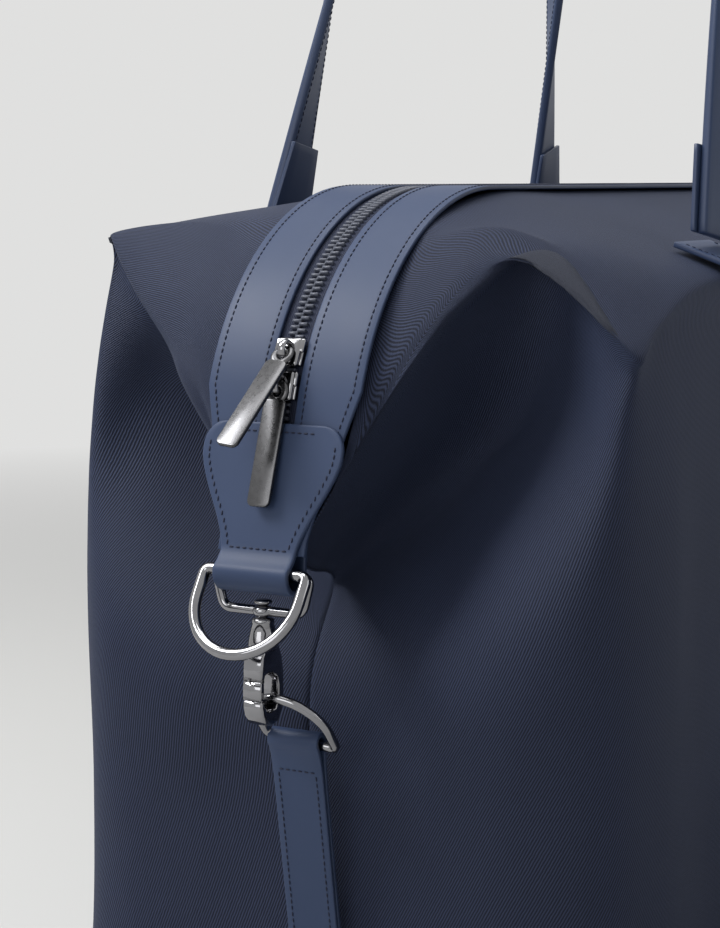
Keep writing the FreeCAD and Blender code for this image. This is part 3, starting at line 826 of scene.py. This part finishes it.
    def base(self) -> bpy.types.Object:
        """The base cloth with its rolled edge."""
        low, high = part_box("base_panel")
        bm = bmesh.new()
        centre = (Vector(low) + Vector(high)) / 2
        spans = Vector(high) - Vector(low)
        matrix = Matrix.Translation(centre) @ Matrix.Diagonal((*spans, 1))
        bmesh.ops.create_cube(bm, size=1, matrix=matrix)
        upright = [edge for edge in bm.edges
                   if abs(edge.verts[0].co.z - edge.verts[1].co.z) > spans.z / 2]
        bmesh.ops.bevel(bm, geom=upright, offset=35 * MM, segments=10, affect="EDGES",
                        profile=0.5, material=-1)
        piece = make_piece("base_cloth", bm, self.finishes.twill)
        soften(piece, 0.8 * MM)
        return piece

    def build(self) -> None:
        front = self.cloth(Side.FRONT)
        settle(front, "root", "navy_twill", "front_panel", "front_top_panel", "left_end_panel",
               "left_zip_ear", "lining")
        back = self.cloth(Side.BACK)
        settle(back, "root", "navy_twill", "back_panel", "back_top_panel", "right_end_panel",
               "right_zip_ear")
        settle(self.base(), "root", "navy_twill", "base_panel")


# ------------------------------------------------------------------ zip


@dataclass
class ZipRun:
    """The leather bands, the tapes and the teeth."""

    finishes: Finishes
    band_inner: float = 6.5 * MM
    band_outer: float = 32 * MM
    band_thickness: float = 1.6 * MM
    tooth_pitch: float = 2.5 * MM
    stitch_inset: float = 3.0 * MM

    def outer_edge(self, run: float) -> float:
        """The band's outer edge, which draws in under the tab."""
        past = max(abs(run) - (PATH.turn_end - 5 * MM), 0)
        return self.band_outer - 14 * MM * min(past / (52 * MM), 1)

    def band(self, side: Side) -> Strip:
        """The strip of one band."""
        def spot(across: float, run: float) -> Vector:
            middle = (self.band_inner + self.outer_edge(run)) / 2
            return PATH.on(side.value * (middle + across), run)

        def half(run: float) -> float:
            return (self.outer_edge(run) - self.band_inner) / 2

        return Strip(f"{side.word}_band", -PATH.length, PATH.length, half, spot,
                     self.band_thickness, Vector((0, 0, 0.1)), rows=130, columns=6)

    def bands(self) -> None:
        """Both bands with their stitches."""
        for side in Side:
            strip = self.band(side)
            piece = strip.build(self.finishes.leather, self.finishes.edge)
            settle(piece, "root", "navy_leather", f"{side.word}_zip_band")
            bm = bmesh.new()
            strip.stitched(bm, self.stitch_inset, start=-PATH.length + 20 * MM,
                           end=PATH.length - 20 * MM)
            thread = make_piece(f"{side.word}_band_stitches", bm, self.finishes.thread)
            settle(thread, "root", "navy_leather")

    def tapes(self) -> None:
        """The woven tapes that carry the teeth."""
        for side in Side:
            def spot(across: float, run: float, side: Side = side) -> Vector:
                return PATH.on(side.value * (7.5 * MM + across), run, -0.8 * MM)

            strip = Strip(f"{side.word}_tape", -PATH.length, PATH.length, lambda run: 6.5 * MM,
                          spot, 0.8 * MM, Vector((0, 0, 0.1)), rows=130, columns=4)
            piece = strip.build(self.finishes.tape, round_by=0.0)
            settle(piece, "root", "zip_tape", f"{side.word}_zip_tape")

    def teeth(self) -> None:
        """Moulded teeth, each a block with a head that locks past the middle."""
        count = int(2 * PATH.length / self.tooth_pitch)
        for side in Side:
            bm = bmesh.new()
            for number in range(count):
                shift = 0.25 if side is Side.FRONT else 0.75
                run = -PATH.length + (number + shift) * self.tooth_pitch
                point, along, out = PATH.at(run)
                sideways = Vector((0, side.value, 0))
                axes = (sideways, along, out)
                block(bm, point + sideways * 1.65 * MM + out * 0.1 * MM, axes,
                      (3.3 * MM, 1.15 * MM, 2.5 * MM), 0.0)
                block(bm, point + sideways * 0.25 * MM + out * 0.1 * MM, axes,
                      (1.2 * MM, 1.55 * MM, 2.1 * MM), 0.0)
            piece = make_piece(f"{side.word}_teeth", bm, self.finishes.tooth)
            soften(piece, 0.26 * MM, 1)
            settle(piece, "root", "zip_teeth", f"{side.word}_zip_teeth")

    def build(self) -> None:
        """Make every fixed piece of the zip."""
        self.bands()
        self.tapes()
        self.teeth()


@dataclass
class ZipSlider:
    """One slider with its bail and its bare puller."""

    finishes: Finishes
    name: str
    place: float
    lift: float
    skew: float
    length: float = 11 * MM
    bail_height: float = 4.9 * MM
    bail_radius: float = 3.0 * MM

    def axes(self) -> tuple[Vector, Vector, Vector]:
        """Ways out, across and down the path at the slider."""
        out = Vector((-math.sin(self.place), 0, math.cos(self.place)))
        down = Vector((-math.cos(self.place), 0, -math.sin(self.place)))
        return out, Vector((0, 1, 0)), down

    def centre(self, height: float) -> Vector:
        """The slider's middle, at a height over the path."""
        hub = Vector((-PATH.crest, 0, PATH.ridge - PATH.radius))
        return hub + self.axes()[0] * (PATH.radius + height)

    def body(self) -> bpy.types.Object:
        """The slider's two plates, flanges, nose and bail."""
        out, across, down = self.axes()
        axes = (out, across, down)
        bm = bmesh.new()
        block(bm, self.centre(2.75 * MM), axes, (2.3 * MM, 9.8 * MM, 10.6 * MM), 1.1 * MM, 4)
        block(bm, self.centre(2.6 * MM) - down * 2.6 * MM, axes,
              (1.5 * MM, 12 * MM, 5.2 * MM), 0.7 * MM, 3)
        block(bm, self.centre(-2.75 * MM), axes, (1.5 * MM, 11.6 * MM, 10.6 * MM), 0.6 * MM, 2)
        for sign in (-1, 1):
            block(bm, self.centre(1.4 * MM) + across * sign * 5.1 * MM, axes,
                  (1.8 * MM, 1.3 * MM, 9.4 * MM), 0.4 * MM, 2)
        bow = [(math.cos(step * math.pi / 12) * self.bail_radius,
                math.sin(step * math.pi / 12) * self.bail_radius) for step in range(13)]
        legs = [(self.bail_radius, -2.0 * MM)] + bow + [(-self.bail_radius, -2.0 * MM)]
        middle = self.centre(self.bail_height)
        sweep(bm, legs, lambda along, up, deep: middle + down * along + out * up + across * deep,
              0.9 * MM, 1.5 * MM, segments=12)
        return make_piece(f"{self.name}_slider_body", bm, self.finishes.metal)

    def puller(self) -> bpy.types.Object:
        """The flat bare puller with its eye."""
        out, across, down = self.axes()
        swing = Matrix.Rotation(self.lift, 3, Vector((0, 1, 0)))
        hang = swing @ down
        face = swing @ out
        slant = Matrix.Rotation(self.skew, 3, face)
        hang, wide = slant @ hang, slant @ across
        middle = self.centre(self.bail_height)
        bm = bmesh.new()
        eye = [(math.cos(step * math.tau / 24) * 3.1 * MM,
                self.bail_radius - 0.3 * MM + math.sin(step * math.tau / 24) * 3.1 * MM)
               for step in range(24)]
        sweep(bm, eye, lambda side, along, deep: middle + wide * side + hang * along + face * deep,
              1.4 * MM, 0.8 * MM, closed=True, segments=12)
        plate_length = 38.6 * MM
        centre = middle + hang * (self.bail_radius + 2.4 * MM + plate_length / 2)
        matrix = Matrix((face, wide, hang)).transposed().to_4x4()
        matrix.translation = centre
        matrix = matrix @ Matrix.Diagonal((1.6 * MM, 9 * MM, plate_length, 1))
        made = bmesh.ops.create_cube(bm, size=1, matrix=matrix)["verts"]
        short = [edge for edge in {edge for vert in made for edge in vert.link_edges}
                 if abs((edge.verts[0].co - edge.verts[1].co).normalized().dot(face)) > 0.9]
        bmesh.ops.bevel(bm, geom=short, offset=2.2 * MM, segments=5, affect="EDGES",
                        profile=0.5, material=-1)
        piece = make_piece(f"{self.name}_pull", bm, self.finishes.pull_metal)
        soften(piece, 0.22 * MM, 2, 35)
        return piece

    def build(self) -> None:
        """Make the slider and the puller."""
        settle(self.body(), f"{self.name}_slider", "gunmetal", f"{self.name}_slider")
        settle(self.puller(), f"{self.name}_puller", "gunmetal", f"{self.name}_puller")


# ------------------------------------------------------------------ tab and rings


@dataclass
class EndTab:
    """The leather tab over one end of the zip, rolled round the two rings."""

    finishes: Finishes
    end: End
    top: float = 8 * MM
    roll_drop: float = 61 * MM
    roll_height: float = 0.3 * MM
    roll_radius: float = 4.9 * MM
    thickness: float = 2.0 * MM
    wide: float = 29 * MM
    narrow: float = 15.5 * MM

    def half(self, run: float) -> float:
        """Half width at a run from the tab's top edge."""
        corner = 9 * MM
        if run < corner:
            drop = corner - run
            return self.wide - corner + math.sqrt(max(corner ** 2 - drop ** 2, 0))
        taper = min(max((run - 12 * MM) / (33 * MM), 0), 1)
        smooth = taper * taper * (3 - 2 * taper)
        return self.wide + (self.narrow - self.wide) * (0.45 * taper + 0.55 * smooth)

    def spot(self, across: float, run: float) -> Vector:
        """A point of the tab's under side, down the front, round the roll and up behind."""
        frame = fall_frame(self.end)
        front = self.roll_drop - self.top
        lead = 9 * MM
        bow = math.pi * self.roll_radius
        side = self.end.value * across
        if run <= front:
            near = max(0.0, (run - front + lead) / lead)
            height = 1.65 * MM + (self.roll_radius + self.roll_height - 1.65 * MM) * near ** 2
            return frame.to(height, self.top + run, side)
        if run <= front + bow:
            angle = (run - front) / self.roll_radius
            return frame.to(self.roll_height + self.roll_radius * math.cos(angle),
                            self.roll_drop + self.roll_radius * math.sin(angle), side)
        past = run - front - bow
        height = -self.roll_radius + self.roll_height + 2.0 * MM * min(past / lead, 1)
        return frame.to(height, self.roll_drop - past, side)

    def build(self) -> None:
        """Make the tab with its stitches."""
        length = self.roll_drop - self.top + math.pi * self.roll_radius + 24 * MM
        strip = Strip(f"{self.end.word}_tab", 0.0, length, self.half, self.spot, self.thickness,
                      Vector((0, 0, 0.22)), rows=120, columns=16)
        piece = strip.build(self.finishes.leather, self.finishes.edge, round_by=0.6 * MM)
        settle(piece, "root", "navy_leather", f"{self.end.word}_zip_tab")
        bm = bmesh.new()
        row = 45 * MM
        strip.stitched(bm, 3 * MM, start=7 * MM, end=row)
        strip.crossed(bm, 3.2 * MM, 9.5 * MM)
        strip.crossed(bm, row, 3.2 * MM)
        thread = make_piece(f"{self.end.word}_tab_stitches", bm, self.finishes.thread)
        settle(thread, "root", "navy_leather")


@dataclass
class EndHardware:
    """The D-ring, the swivel hook and the strap ring at one end."""

    finishes: Finishes
    end: End
    ring_wire: float = 2.2 * MM
    ring_half: float = 21 * MM
    ring_leg: float = 10 * MM
    ring_lean: float = math.radians(32)
    loop_wire: float = 1.8 * MM
    loop_half_top: float = 19.8 * MM
    loop_half_end: float = 16.4 * MM
    loop_drop: float = 13 * MM
    strap_ring_half: float = 13.8 * MM
    strap_ring_leg: float = 8.6 * MM
    strap_ring_lean: float = math.radians(38.5)
    strap_ring_place: Flat = (0.260, 0.1250)
    slide: float = 7.5 * MM

    def near_roll(self, height: float, lean: float) -> Hung:
        """A hanging frame inside the tab's roll."""
        frame = fall_frame(self.end)
        tab = EndTab(self.finishes, self.end)
        return Hung(self.end, frame.to(tab.roll_height + height, tab.roll_drop, 0), lean)

    def d_run(self, half: float, leg: float) -> list[Flat]:
        """The line of a D: bar, rounded corners, legs and bow, as (across, down)."""
        bow = [(half * math.cos(step * math.pi / 24), leg + half * math.sin(step * math.pi / 24))
               for step in range(25)]
        corners = rounded_run([(-half, leg * 0.8), (-half, 0.0), (half, 0.0), (half, leg * 0.8)],
                              2.6 * MM, 5, closed=False)
        return corners + bow

    def d_ring(self) -> None:
        """The free D-ring."""
        frame = self.near_roll(2.4 * MM, self.ring_lean)
        bm = bmesh.new()
        sweep(bm, self.d_run(self.ring_half, self.ring_leg),
              lambda across, down, deep: frame.to(deep, down, across),
              self.ring_wire, self.ring_wire, closed=True, segments=18)
        piece = make_piece(f"{self.end.word}_ring", bm, self.finishes.metal)
        settle(piece, f"{self.end.word}_d_ring", "gunmetal", f"{self.end.word}_d_ring")

    def strap_ring(self) -> None:
        """The ring on the side strap, whose bow stands in the hook, a little to one side."""
        out, up = self.strap_ring_place
        origin = Vector((self.end.value * out, -self.slide, up))
        frame = Hung(self.end, origin, math.pi - self.strap_ring_lean)
        bm = bmesh.new()
        run = [(across, down + 0.16 * across) for across, down
               in self.d_run(self.strap_ring_half, self.strap_ring_leg)]
        sweep(bm, run, lambda across, down, deep: frame.to(deep, down, across),
              self.loop_wire, self.loop_wire, closed=True, segments=16)
        piece = make_piece(f"{self.end.word}_small_ring", bm, self.finishes.metal)
        settle(piece, f"{self.end.word}_strap_ring", "gunmetal", f"{self.end.word}_strap_ring")

    def loop(self) -> None:
        """The swivel loop with the boss that the hook's post turns in."""
        frame = self.near_roll(-2.3 * MM, 0.0)
        bm = bmesh.new()
        corners = [(-self.loop_half_top, 0.0), (self.loop_half_top, 0.0),
                   (self.loop_half_end, self.loop_drop), (-self.loop_half_end, self.loop_drop)]
        sweep(bm, rounded_run(corners, 3.4 * MM, 6),
              lambda across, down, deep: frame.to(deep, down, across),
              self.loop_wire, self.loop_wire, closed=True, segments=16)
        ring = [(step * 0.6 * MM, self.loop_drop + (step - 3) * 0.6 * MM) for step in range(7)]
        swell = [2.6, 3.3, 3.6, 3.7, 3.6, 3.3, 2.6]
        sweep(bm, [(0.0, down) for _, down in ring],
              lambda across, down, deep: frame.to(deep, down, across),
              [size * MM for size in swell], [size * MM for size in swell], segments=20)
        piece = make_piece(f"{self.end.word}_loop", bm, self.finishes.metal)
        settle(piece, f"{self.end.word}_swivel_loop", "gunmetal", f"{self.end.word}_swivel_loop")

    def hook_frame(self) -> Hung:
        """The hook's frame, from the middle of the loop's lower bar."""
        frame = self.near_roll(-2.3 * MM, 0.0)
        return Hung(self.end, frame.to(0, self.loop_drop, 0), 0.0)

    def hook(self) -> None:
        """The hook: cap, post, bell, shoulder and the round C."""
        frame = self.hook_frame()

        def to_world(out: float, down: float, deep: float) -> Vector:
            return frame.to(out, down, deep)

        bm = bmesh.new()
        turned = [(-4.2, 1.6), (-4.0, 2.8), (-3.4, 3.3), (-2.8, 3.1), (-2.4, 2.4), (-2.3, 1.6),
                  (2.3, 1.6), (2.5, 3.4), (2.9, 3.9), (4.0, 4.1), (4.3, 3.9), (7.2, 4.6),
                  (10.5, 5.3), (12.0, 5.5), (13.0, 5.2), (14.0, 4.2)]
        sizes = [size * MM for _, size in turned]
        sweep(bm, [(0.0, down * MM) for down, _ in turned], to_world, sizes, sizes, segments=24)
        line = [(-4.2, 12), (4.4, 12), (6.6, 15.5), (7.2, 20), (7.3, 23.7), (4.9, 23.7),
                (4.5, 22.5), (2.0, 21.6), (-0.8, 22.0), (-2.8, 23.6), (-3.6, 27), (-3.4, 31.5),
                (-2, 34.8), (0.5, 36), (3.0, 35.2), (4.7, 33), (5.0, 31.2), (7.4, 31.2),
                (7.2, 34), (6.3, 37), (4, 39.7), (0.5, 41), (-3.4, 40), (-6.3, 36.5),
                (-7.5, 30.5), (-7.4, 22), (-6.3, 16.5)]
        self.plate(bm, line, 4.1 * MM, 1.1 * MM)
        piece = make_piece(f"{self.end.word}_hook_body", bm, self.finishes.metal)
        settle(piece, f"{self.end.word}_hook", "gunmetal", f"{self.end.word}_snap_hook")

    def gate(self) -> None:
        """The spring gate and its pin."""
        frame = self.hook_frame()
        bm = bmesh.new()
        self.plate(bm, [(5.1, 24.5), (7.3, 24.2), (7.45, 27.5), (7.4, 30.9), (5.1, 30.9)],
                   3.9 * MM, 0.5 * MM)
        piece = make_piece(f"{self.end.word}_gate_blade", bm, self.finishes.metal)
        settle(piece, f"{self.end.word}_gate", "gunmetal", f"{self.end.word}_hook_gate")
        bm = bmesh.new()
        matrix = Matrix.Translation(frame.to(6.0 * MM, 24.0 * MM, 0)) @ Matrix.Rotation(
            math.pi / 2, 4, "X")
        bmesh.ops.create_cone(bm, cap_ends=True, segments=16, radius1=0.85 * MM,
                              radius2=0.85 * MM, depth=7.9 * MM, matrix=matrix)
        piece = make_piece(f"{self.end.word}_pin", bm, self.finishes.pull_metal)
        soften(piece, 0.2 * MM)
        settle(piece, f"{self.end.word}_hook", "gunmetal", f"{self.end.word}_gate_pin")

    def plate(self, bm: bmesh.types.BMesh, line: Sequence[Flat], half: float,
              round_by: float) -> None:
        """Add a thick plate of the hook, with its outline in millimetres and rounded edges.

        Args:
            bm: the mesh that takes the plate.
            line: the outline as (out, down).
            half: half the plate's depth.
            round_by: the size of the rounding on its long edges.
        """
        frame = self.hook_frame()
        low = [bm.verts.new(frame.to(out * MM, down * MM, -half)) for out, down in line]
        face = bm.faces.new(low)
        made = bmesh.ops.extrude_face_region(bm, geom=[face])["geom"]
        top = [part for part in made if isinstance(part, bmesh.types.BMVert)]
        bmesh.ops.translate(bm, verts=top, vec=Vector((0, 2 * half, 0)))
        rims = {edge for vert in (*low, *top) for edge in vert.link_edges
                if abs(edge.verts[0].co.y - edge.verts[1].co.y) < half}
        bmesh.ops.bevel(bm, geom=list(rims), offset=round_by, segments=3, affect="EDGES",
                        profile=0.5, material=-1)

    def build(self) -> None:
        """Make all the metal of one end."""
        self.d_ring()
        self.strap_ring()
        self.loop()
        self.hook()
        self.gate()


@dataclass
class SideStrap:
    """The doubled leather strap that comes up the end to its ring."""

    finishes: Finishes
    end: End
    half_width: float = 10.5 * MM
    layer: float = 1.5 * MM
    reach: float = 115 * MM
    lean: float = math.radians(-9)
    loop_radius: float = 2.4 * MM

    def spot(self, across: float, run: float) -> Vector:
        """A point of the under side: up behind, round the ring's bar and down in front."""
        out, up = EndHardware(self.finishes, self.end).strap_ring_place
        frame = Hung(self.end, Vector((self.end.value * out, 0, up)), self.lean)
        back = self.reach - 8 * MM
        bow = math.pi * self.loop_radius
        side = self.end.value * across - 5.5 * MM
        if run < back:
            down = back - run
            height = -0.2 * MM - (self.loop_radius - 0.2 * MM) * math.exp(-down / (5 * MM))
            return frame.to(height, down, side)
        if run < back + bow:
            angle = (run - back) / self.loop_radius
            return frame.to(-self.loop_radius * math.cos(angle),
                            -self.loop_radius * math.sin(angle), side)
        down = run - back - bow
        height = 0.2 * MM + (self.loop_radius - 0.2 * MM) * math.exp(-down / (5 * MM))
        return frame.to(height, down, side)

    def build(self) -> None:
        """Make the strap with its stitches."""
        back = self.reach - 8 * MM
        bow = math.pi * self.loop_radius
        length = back + bow + self.reach
        strip = Strip(f"{self.end.word}_strap", 0.0, length, lambda run: self.half_width,
                      self.spot, self.layer, Vector((self.end.value * 0.2, 0, 0.117)),
                      rows=150, columns=6)
        piece = strip.build(self.finishes.leather, self.finishes.edge, round_by=0.4 * MM)
        settle(piece, "root", "navy_leather", f"{self.end.word}_side_strap")
        bm = bmesh.new()
        strip.stitched(bm, 2.6 * MM, start=back + bow + 12 * MM, end=length - 4 * MM)
        strip.crossed(bm, back + bow + 11 * MM, 2.6 * MM)
        thread = make_piece(f"{self.end.word}_strap_stitches", bm, self.finishes.thread)
        settle(thread, "root", "navy_leather")


# ------------------------------------------------------------------ handles


@dataclass
class CarryHandle:
    """A leather strap handle that is flat at its feet and twists into a round bow."""

    finishes: Finishes
    side: Side
    width: float = 25 * MM
    thickness: float = 4 * MM
    foot_reach: float = 0.119
    rise: float = 0.200
    lean: float = math.radians(9)
    chape: float = 34 * MM

    def __post_init__(self) -> None:
        """Work out the leg, the bow and the whole length from foot to foot."""
        front = self.side is Side.FRONT
        self.foot = Vector((self.foot_reach, 0.103, 0.3015) if front else
                           (self.foot_reach, 0.091, 0.305))
        self.tilt = math.radians(-1.9 if front else 8.5)
        inset = self.foot.x - self.rise * math.tan(self.lean)
        reach = math.cos(self.lean) - (1 - math.sin(self.lean)) * math.tan(self.lean)
        self.radius = inset / reach
        self.leg = (self.rise - self.radius * (1 - math.sin(self.lean))) / math.cos(self.lean)
        self.whole = 2 * self.leg + (math.pi - 2 * self.lean) * self.radius

    def line(self, run: float) -> tuple[Vector, Vector, float]:
        """Centre, way and twist at a run from the left foot, before the tilt."""
        left = run <= self.whole / 2
        near = min(run, self.whole - run)
        if near <= self.leg:
            slope = self.lean
            across = -self.foot.x + near * math.sin(self.lean)
            up = near * math.cos(self.lean)
        else:
            slope = self.lean + (near - self.leg) / self.radius
            across = -self.radius * math.cos(slope)
            up = self.rise - self.radius + self.radius * math.sin(slope)
        twist = math.pi * near / self.whole
        if left:
            return Vector((across, 0, up)), Vector((math.sin(slope), 0, math.cos(slope))), -twist
        return (Vector((-across, 0, up)), Vector((math.sin(slope), 0, -math.cos(slope))),
                twist - math.pi)

    def spot(self, across: float, run: float, inner: float = 0.0) -> Vector:
        """A point of the strap, at a depth towards the middle of the bag."""
        centre, way, twist = self.line(run)
        turn = Matrix.Rotation(twist, 3, way)
        sideways = turn @ Vector((0, 1, 0)).cross(way)
        through = turn @ Vector((0, 1, 0))
        point = centre + sideways * across + through * inner
        tilted = Matrix.Rotation(-self.tilt, 3, Vector((1, 0, 0))) @ point
        world = tilted + Vector((0, -self.foot.y, self.foot.z))
        return Vector((world.x, -self.side.value * world.y, world.z))

    def strap(self) -> bpy.types.Object:
        """The strap itself."""
        strip = Strip(f"{self.side.word}_grip", 0.5 * MM, self.whole - 0.5 * MM,
                      lambda run: self.width / 2,
                      lambda across, run: self.spot(across, run, -self.thickness / 2),
                      self.thickness, Vector((0, 0, 0)), rows=110, columns=6)
        strip.inside = strip.spot(0, self.whole / 2) + (strip.spot(0, self.whole / 2)
                                                       - self.spot(0, self.whole / 2, 0.0)) * 9
        piece = strip.build(self.finishes.leather, self.finishes.edge, round_by=1.1 * MM)
        bm = bmesh.new()
        strip.stitched(bm, 2.6 * MM, start=30 * MM, end=self.whole - 30 * MM)
        thread = make_piece(f"{self.side.word}_grip_stitches", bm, self.finishes.thread)
        settle(thread, f"{self.side.word}_handle", "navy_leather")
        return piece

    def chapes(self) -> bpy.types.Object:
        """The leather patches on the inner side of both feet."""
        bm = bmesh.new()
        for first in (True, False):
            start, end = (1 * MM, self.chape) if first else (self.whole - self.chape,
                                                              self.whole - 1 * MM)
            depth = self.thickness / 2 + 0.05 * MM
            sign = 1 if first else -1
            grid = bmesh.ops.create_grid(bm, x_segments=4, y_segments=10, size=0.5)["verts"]
            for vert in grid:
                run = start + (vert.co.y + 0.5) * (end - start)
                vert.co = self.spot(vert.co.x * 29 * MM, run, sign * depth)
            faces = list({face for vert in grid for face in vert.link_faces})
            middle = self.spot(0, (start + end) / 2, 0)
            faces[0].normal_update()
            bmesh.ops.recalc_face_normals(bm, faces=faces)
            away = faces[0].calc_center_median() - middle
            faces[0].normal_update()
            if faces[0].normal.dot(away) < 0:
                bmesh.ops.reverse_faces(bm, faces=faces)
        piece = make_piece(f"{self.side.word}_foot_patches", bm, self.finishes.leather,
                           self.finishes.edge, outward=False)
        wall = piece.modifiers.new("thickness", "SOLIDIFY")
        wall.thickness = 1.8 * MM
        wall.offset = 1
        wall.material_offset_rim = 1
        soften(piece, 0.4 * MM)
        return piece

    def anchors(self) -> None:
        """The stitched patches on the top of the bag."""
        for end in End:
            low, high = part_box(f"{self.side.word}_handle_anchors")
            inner_y = min(abs(low[1]), abs(high[1]))
            outer_y = max(abs(low[1]), abs(high[1]))
            slope = (high[2] - low[2] - 2.5 * MM) / (outer_y - inner_y)
            reach = (outer_y - inner_y) * 0.5

            def spot(across: float, run: float, end: End = end) -> Vector:
                y = (outer_y + inner_y) / 2 - run
                return Vector((end.value * self.foot.x + across, self.side.value * y,
                               low[2] + (outer_y - y) * slope + 0.4 * MM))

            strip = Strip(f"{self.side.word}_{end.word}_anchor", -reach * 0.95, reach * 0.95,
                          lambda run: 16.5 * MM, spot, 2.2 * MM, Vector((0, 0, 0)),
                          rows=10, columns=8)
            piece = strip.build(self.finishes.leather, self.finishes.edge)
            nodes = [f"{self.side.word}_handle_anchors"] if end is End.LEFT else []
            settle(piece, "root", "navy_leather", *nodes)
            bm = bmesh.new()
            strip.stitched(bm, 2.8 * MM, start=-reach * 0.8, end=reach * 0.8)
            strip.crossed(bm, -reach * 0.75, 2.8 * MM)
            thread = make_piece(f"{self.side.word}_{end.word}_anchor_stitches", bm,
                                self.finishes.thread)
            settle(thread, "root", "navy_leather")

    def build(self) -> None:
        """Make the handle, its patches and its anchors."""
        body = f"{self.side.word}_handle"
        settle(self.strap(), body, "navy_leather", f"{self.side.word}_handle")
        settle(self.chapes(), body, "navy_leather", f"{self.side.word}_handle_chapes")
        self.anchors()


# ------------------------------------------------------------------ studio


@dataclass
class Studio:
    """Pale floor and backdrop, soft lamps and the camera."""

    eye: Vector = field(default_factory=lambda: Vector((-0.9746, -0.4614, 0.3249)))
    heading: float = math.radians(31.02)
    pitch: float = math.radians(6.77)
    focal: float = 2421.0
    picture_height: float = 928.0
    pale: tuple = (0.62, 0.62, 0.61)
    sky: tuple = (0.745, 0.745, 0.74)
    ambient: float = 0.18

    def lamp(self, name: str, place: Sequence[float], aim: Sequence[float], size: float,
             watts: float) -> None:
        """Add one soft square lamp."""
        data = bpy.data.lights.new(name, "AREA")
        data.shape = "RECTANGLE"
        data.size = size
        data.size_y = size * 0.7
        data.energy = watts
        lamp = bpy.data.objects.new(name, data)
        lamp.location = place
        way = Vector(aim) - Vector(place)
        lamp.rotation_euler = way.to_track_quat("-Z", "Y").to_euler()
        bpy.context.scene.collection.objects.link(lamp)

    def backdrop(self) -> None:
        """A pale floor that fades into a glow of the sky's tone further out."""
        material, sheet, shader = start_material("pale_paper")
        grain = place_group(sheet, grain_group(), "Object", Fine_Scale=60.0, Cloud_Scale=0.6)
        sheet.link(mix_colours(sheet, grain.outputs["Cloud"], tuple(c * 0.97 for c in self.pale),
                               self.pale), shader.inputs["Base Color"])
        shader.inputs["Roughness"].default_value = 0.9
        spot = sheet.add("TexCoord")
        reach = sheet.add("VectorMath", operation="LENGTH")
        sheet.link(spot.outputs["Object"], reach.inputs[0])
        fade = sheet.add("MapRange")
        fade.inputs["From Min"].default_value = 0.5
        fade.inputs["From Max"].default_value = 1.9
        sheet.link(reach.outputs["Value"], fade.inputs["Value"])
        glow = sheet.add("Emission", Color=(*self.sky, 1))
        blend = sheet.add("MixShader")
        sheet.link(fade.outputs["Result"], blend.inputs["Fac"])
        sheet.link(shader.outputs["BSDF"], blend.inputs[1])
        sheet.link(glow.outputs["Emission"], blend.inputs[2])
        sheet.link(blend.outputs["Shader"], sheet.tree.nodes["Material Output"].inputs["Surface"])
        bm = bmesh.new()
        bmesh.ops.create_grid(bm, x_segments=1, y_segments=1, size=30)
        floor = make_piece("floor", bm, material, outward=False)

    def world(self) -> None:
        """Plain light from all round, and the same pale tone behind the bag."""
        scene = bpy.context.scene
        world = bpy.data.worlds.new("studio")
        scene.world = world
        world.use_nodes = True
        sheet = NodeSheet(world.node_tree)
        plain = world.node_tree.nodes["Background"]
        plain.inputs["Color"].default_value = (*self.sky, 1)
        rays = sheet.add("LightPath")
        seen = sheet.add("Math", operation="MAXIMUM")
        sheet.link(rays.outputs["Is Camera Ray"], seen.inputs[0])
        sheet.link(rays.outputs["Is Glossy Ray"], seen.inputs[1])
        strength = sheet.add("MapRange")
        strength.inputs["To Min"].default_value = self.ambient
        strength.inputs["To Max"].default_value = 1.0
        sheet.link(seen.outputs[0], strength.inputs["Value"])
        sheet.link(strength.outputs["Result"], plain.inputs["Strength"])

    def camera(self) -> None:
        """The camera at the bag's left end, level with its top."""
        data = bpy.data.cameras.new("camera")
        data.sensor_width = 36
        data.lens = 36 * self.focal / self.picture_height
        data.clip_start = 0.02
        camera = bpy.data.objects.new("camera", data)
        camera.location = self.eye
        way = Vector((math.cos(self.heading) * math.cos(self.pitch),
                      math.sin(self.heading) * math.cos(self.pitch), -math.sin(self.pitch)))
        camera.rotation_euler = way.to_track_quat("-Z", "Y").to_euler()
        bpy.context.scene.collection.objects.link(camera)
        bpy.context.scene.camera = camera

    def build(self) -> None:
        """Set the whole studio."""
        self.backdrop()
        self.world()
        self.lamp("key", (-0.8, 1.0, 1.4), (-0.2, 0, 0.2), 0.8, 24)
        self.lamp("top", (-0.1, 0.3, 1.7), (-0.1, 0, 0.25), 1.2, 13)
        self.lamp("fill", (-1.7, 0.1, 0.7), (-0.2, 0, 0.15), 1.0, 5)
        self.lamp("front", (0.6, -1.7, 0.9), (0.1, 0, 0.2), 1.2, 4)
        self.camera()
        bpy.context.scene.view_settings.view_transform = "Standard"


def dress_nodes(finishes: Finishes) -> None:
    """Give the carried-over inner nodes their finishes."""
    coats = {"base_board": finishes.board, "inner_pocket": finishes.lining,
             "left_gate_spring": finishes.metal, "right_gate_spring": finishes.metal}
    for name, material in coats.items():
        for node in bpy.data.objects:
            if node.name == name and node.type == "MESH":
                node.data.materials.clear()
                node.data.materials.append(material)


def main() -> None:
    """Build the bag on its frame and light it."""
    logging.basicConfig(level=logging.INFO, format="%(message)s")
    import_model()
    finishes = Finishes()
    ClothBody(finishes).build()
    ZipRun(finishes).build()
    ZipSlider(finishes, "upper", math.radians(65), math.radians(19), math.radians(-7)).build()
    ZipSlider(finishes, "lower", math.radians(72), 0.0, 0.0).build()
    for end in End:
        EndTab(finishes, end).build()
        EndHardware(finishes, end).build()
        SideStrap(finishes, end).build()
    for side in Side:
        CarryHandle(finishes, side).build()
    dress_nodes(finishes)
    Studio().build()


if __name__ == "__main__":
    main()
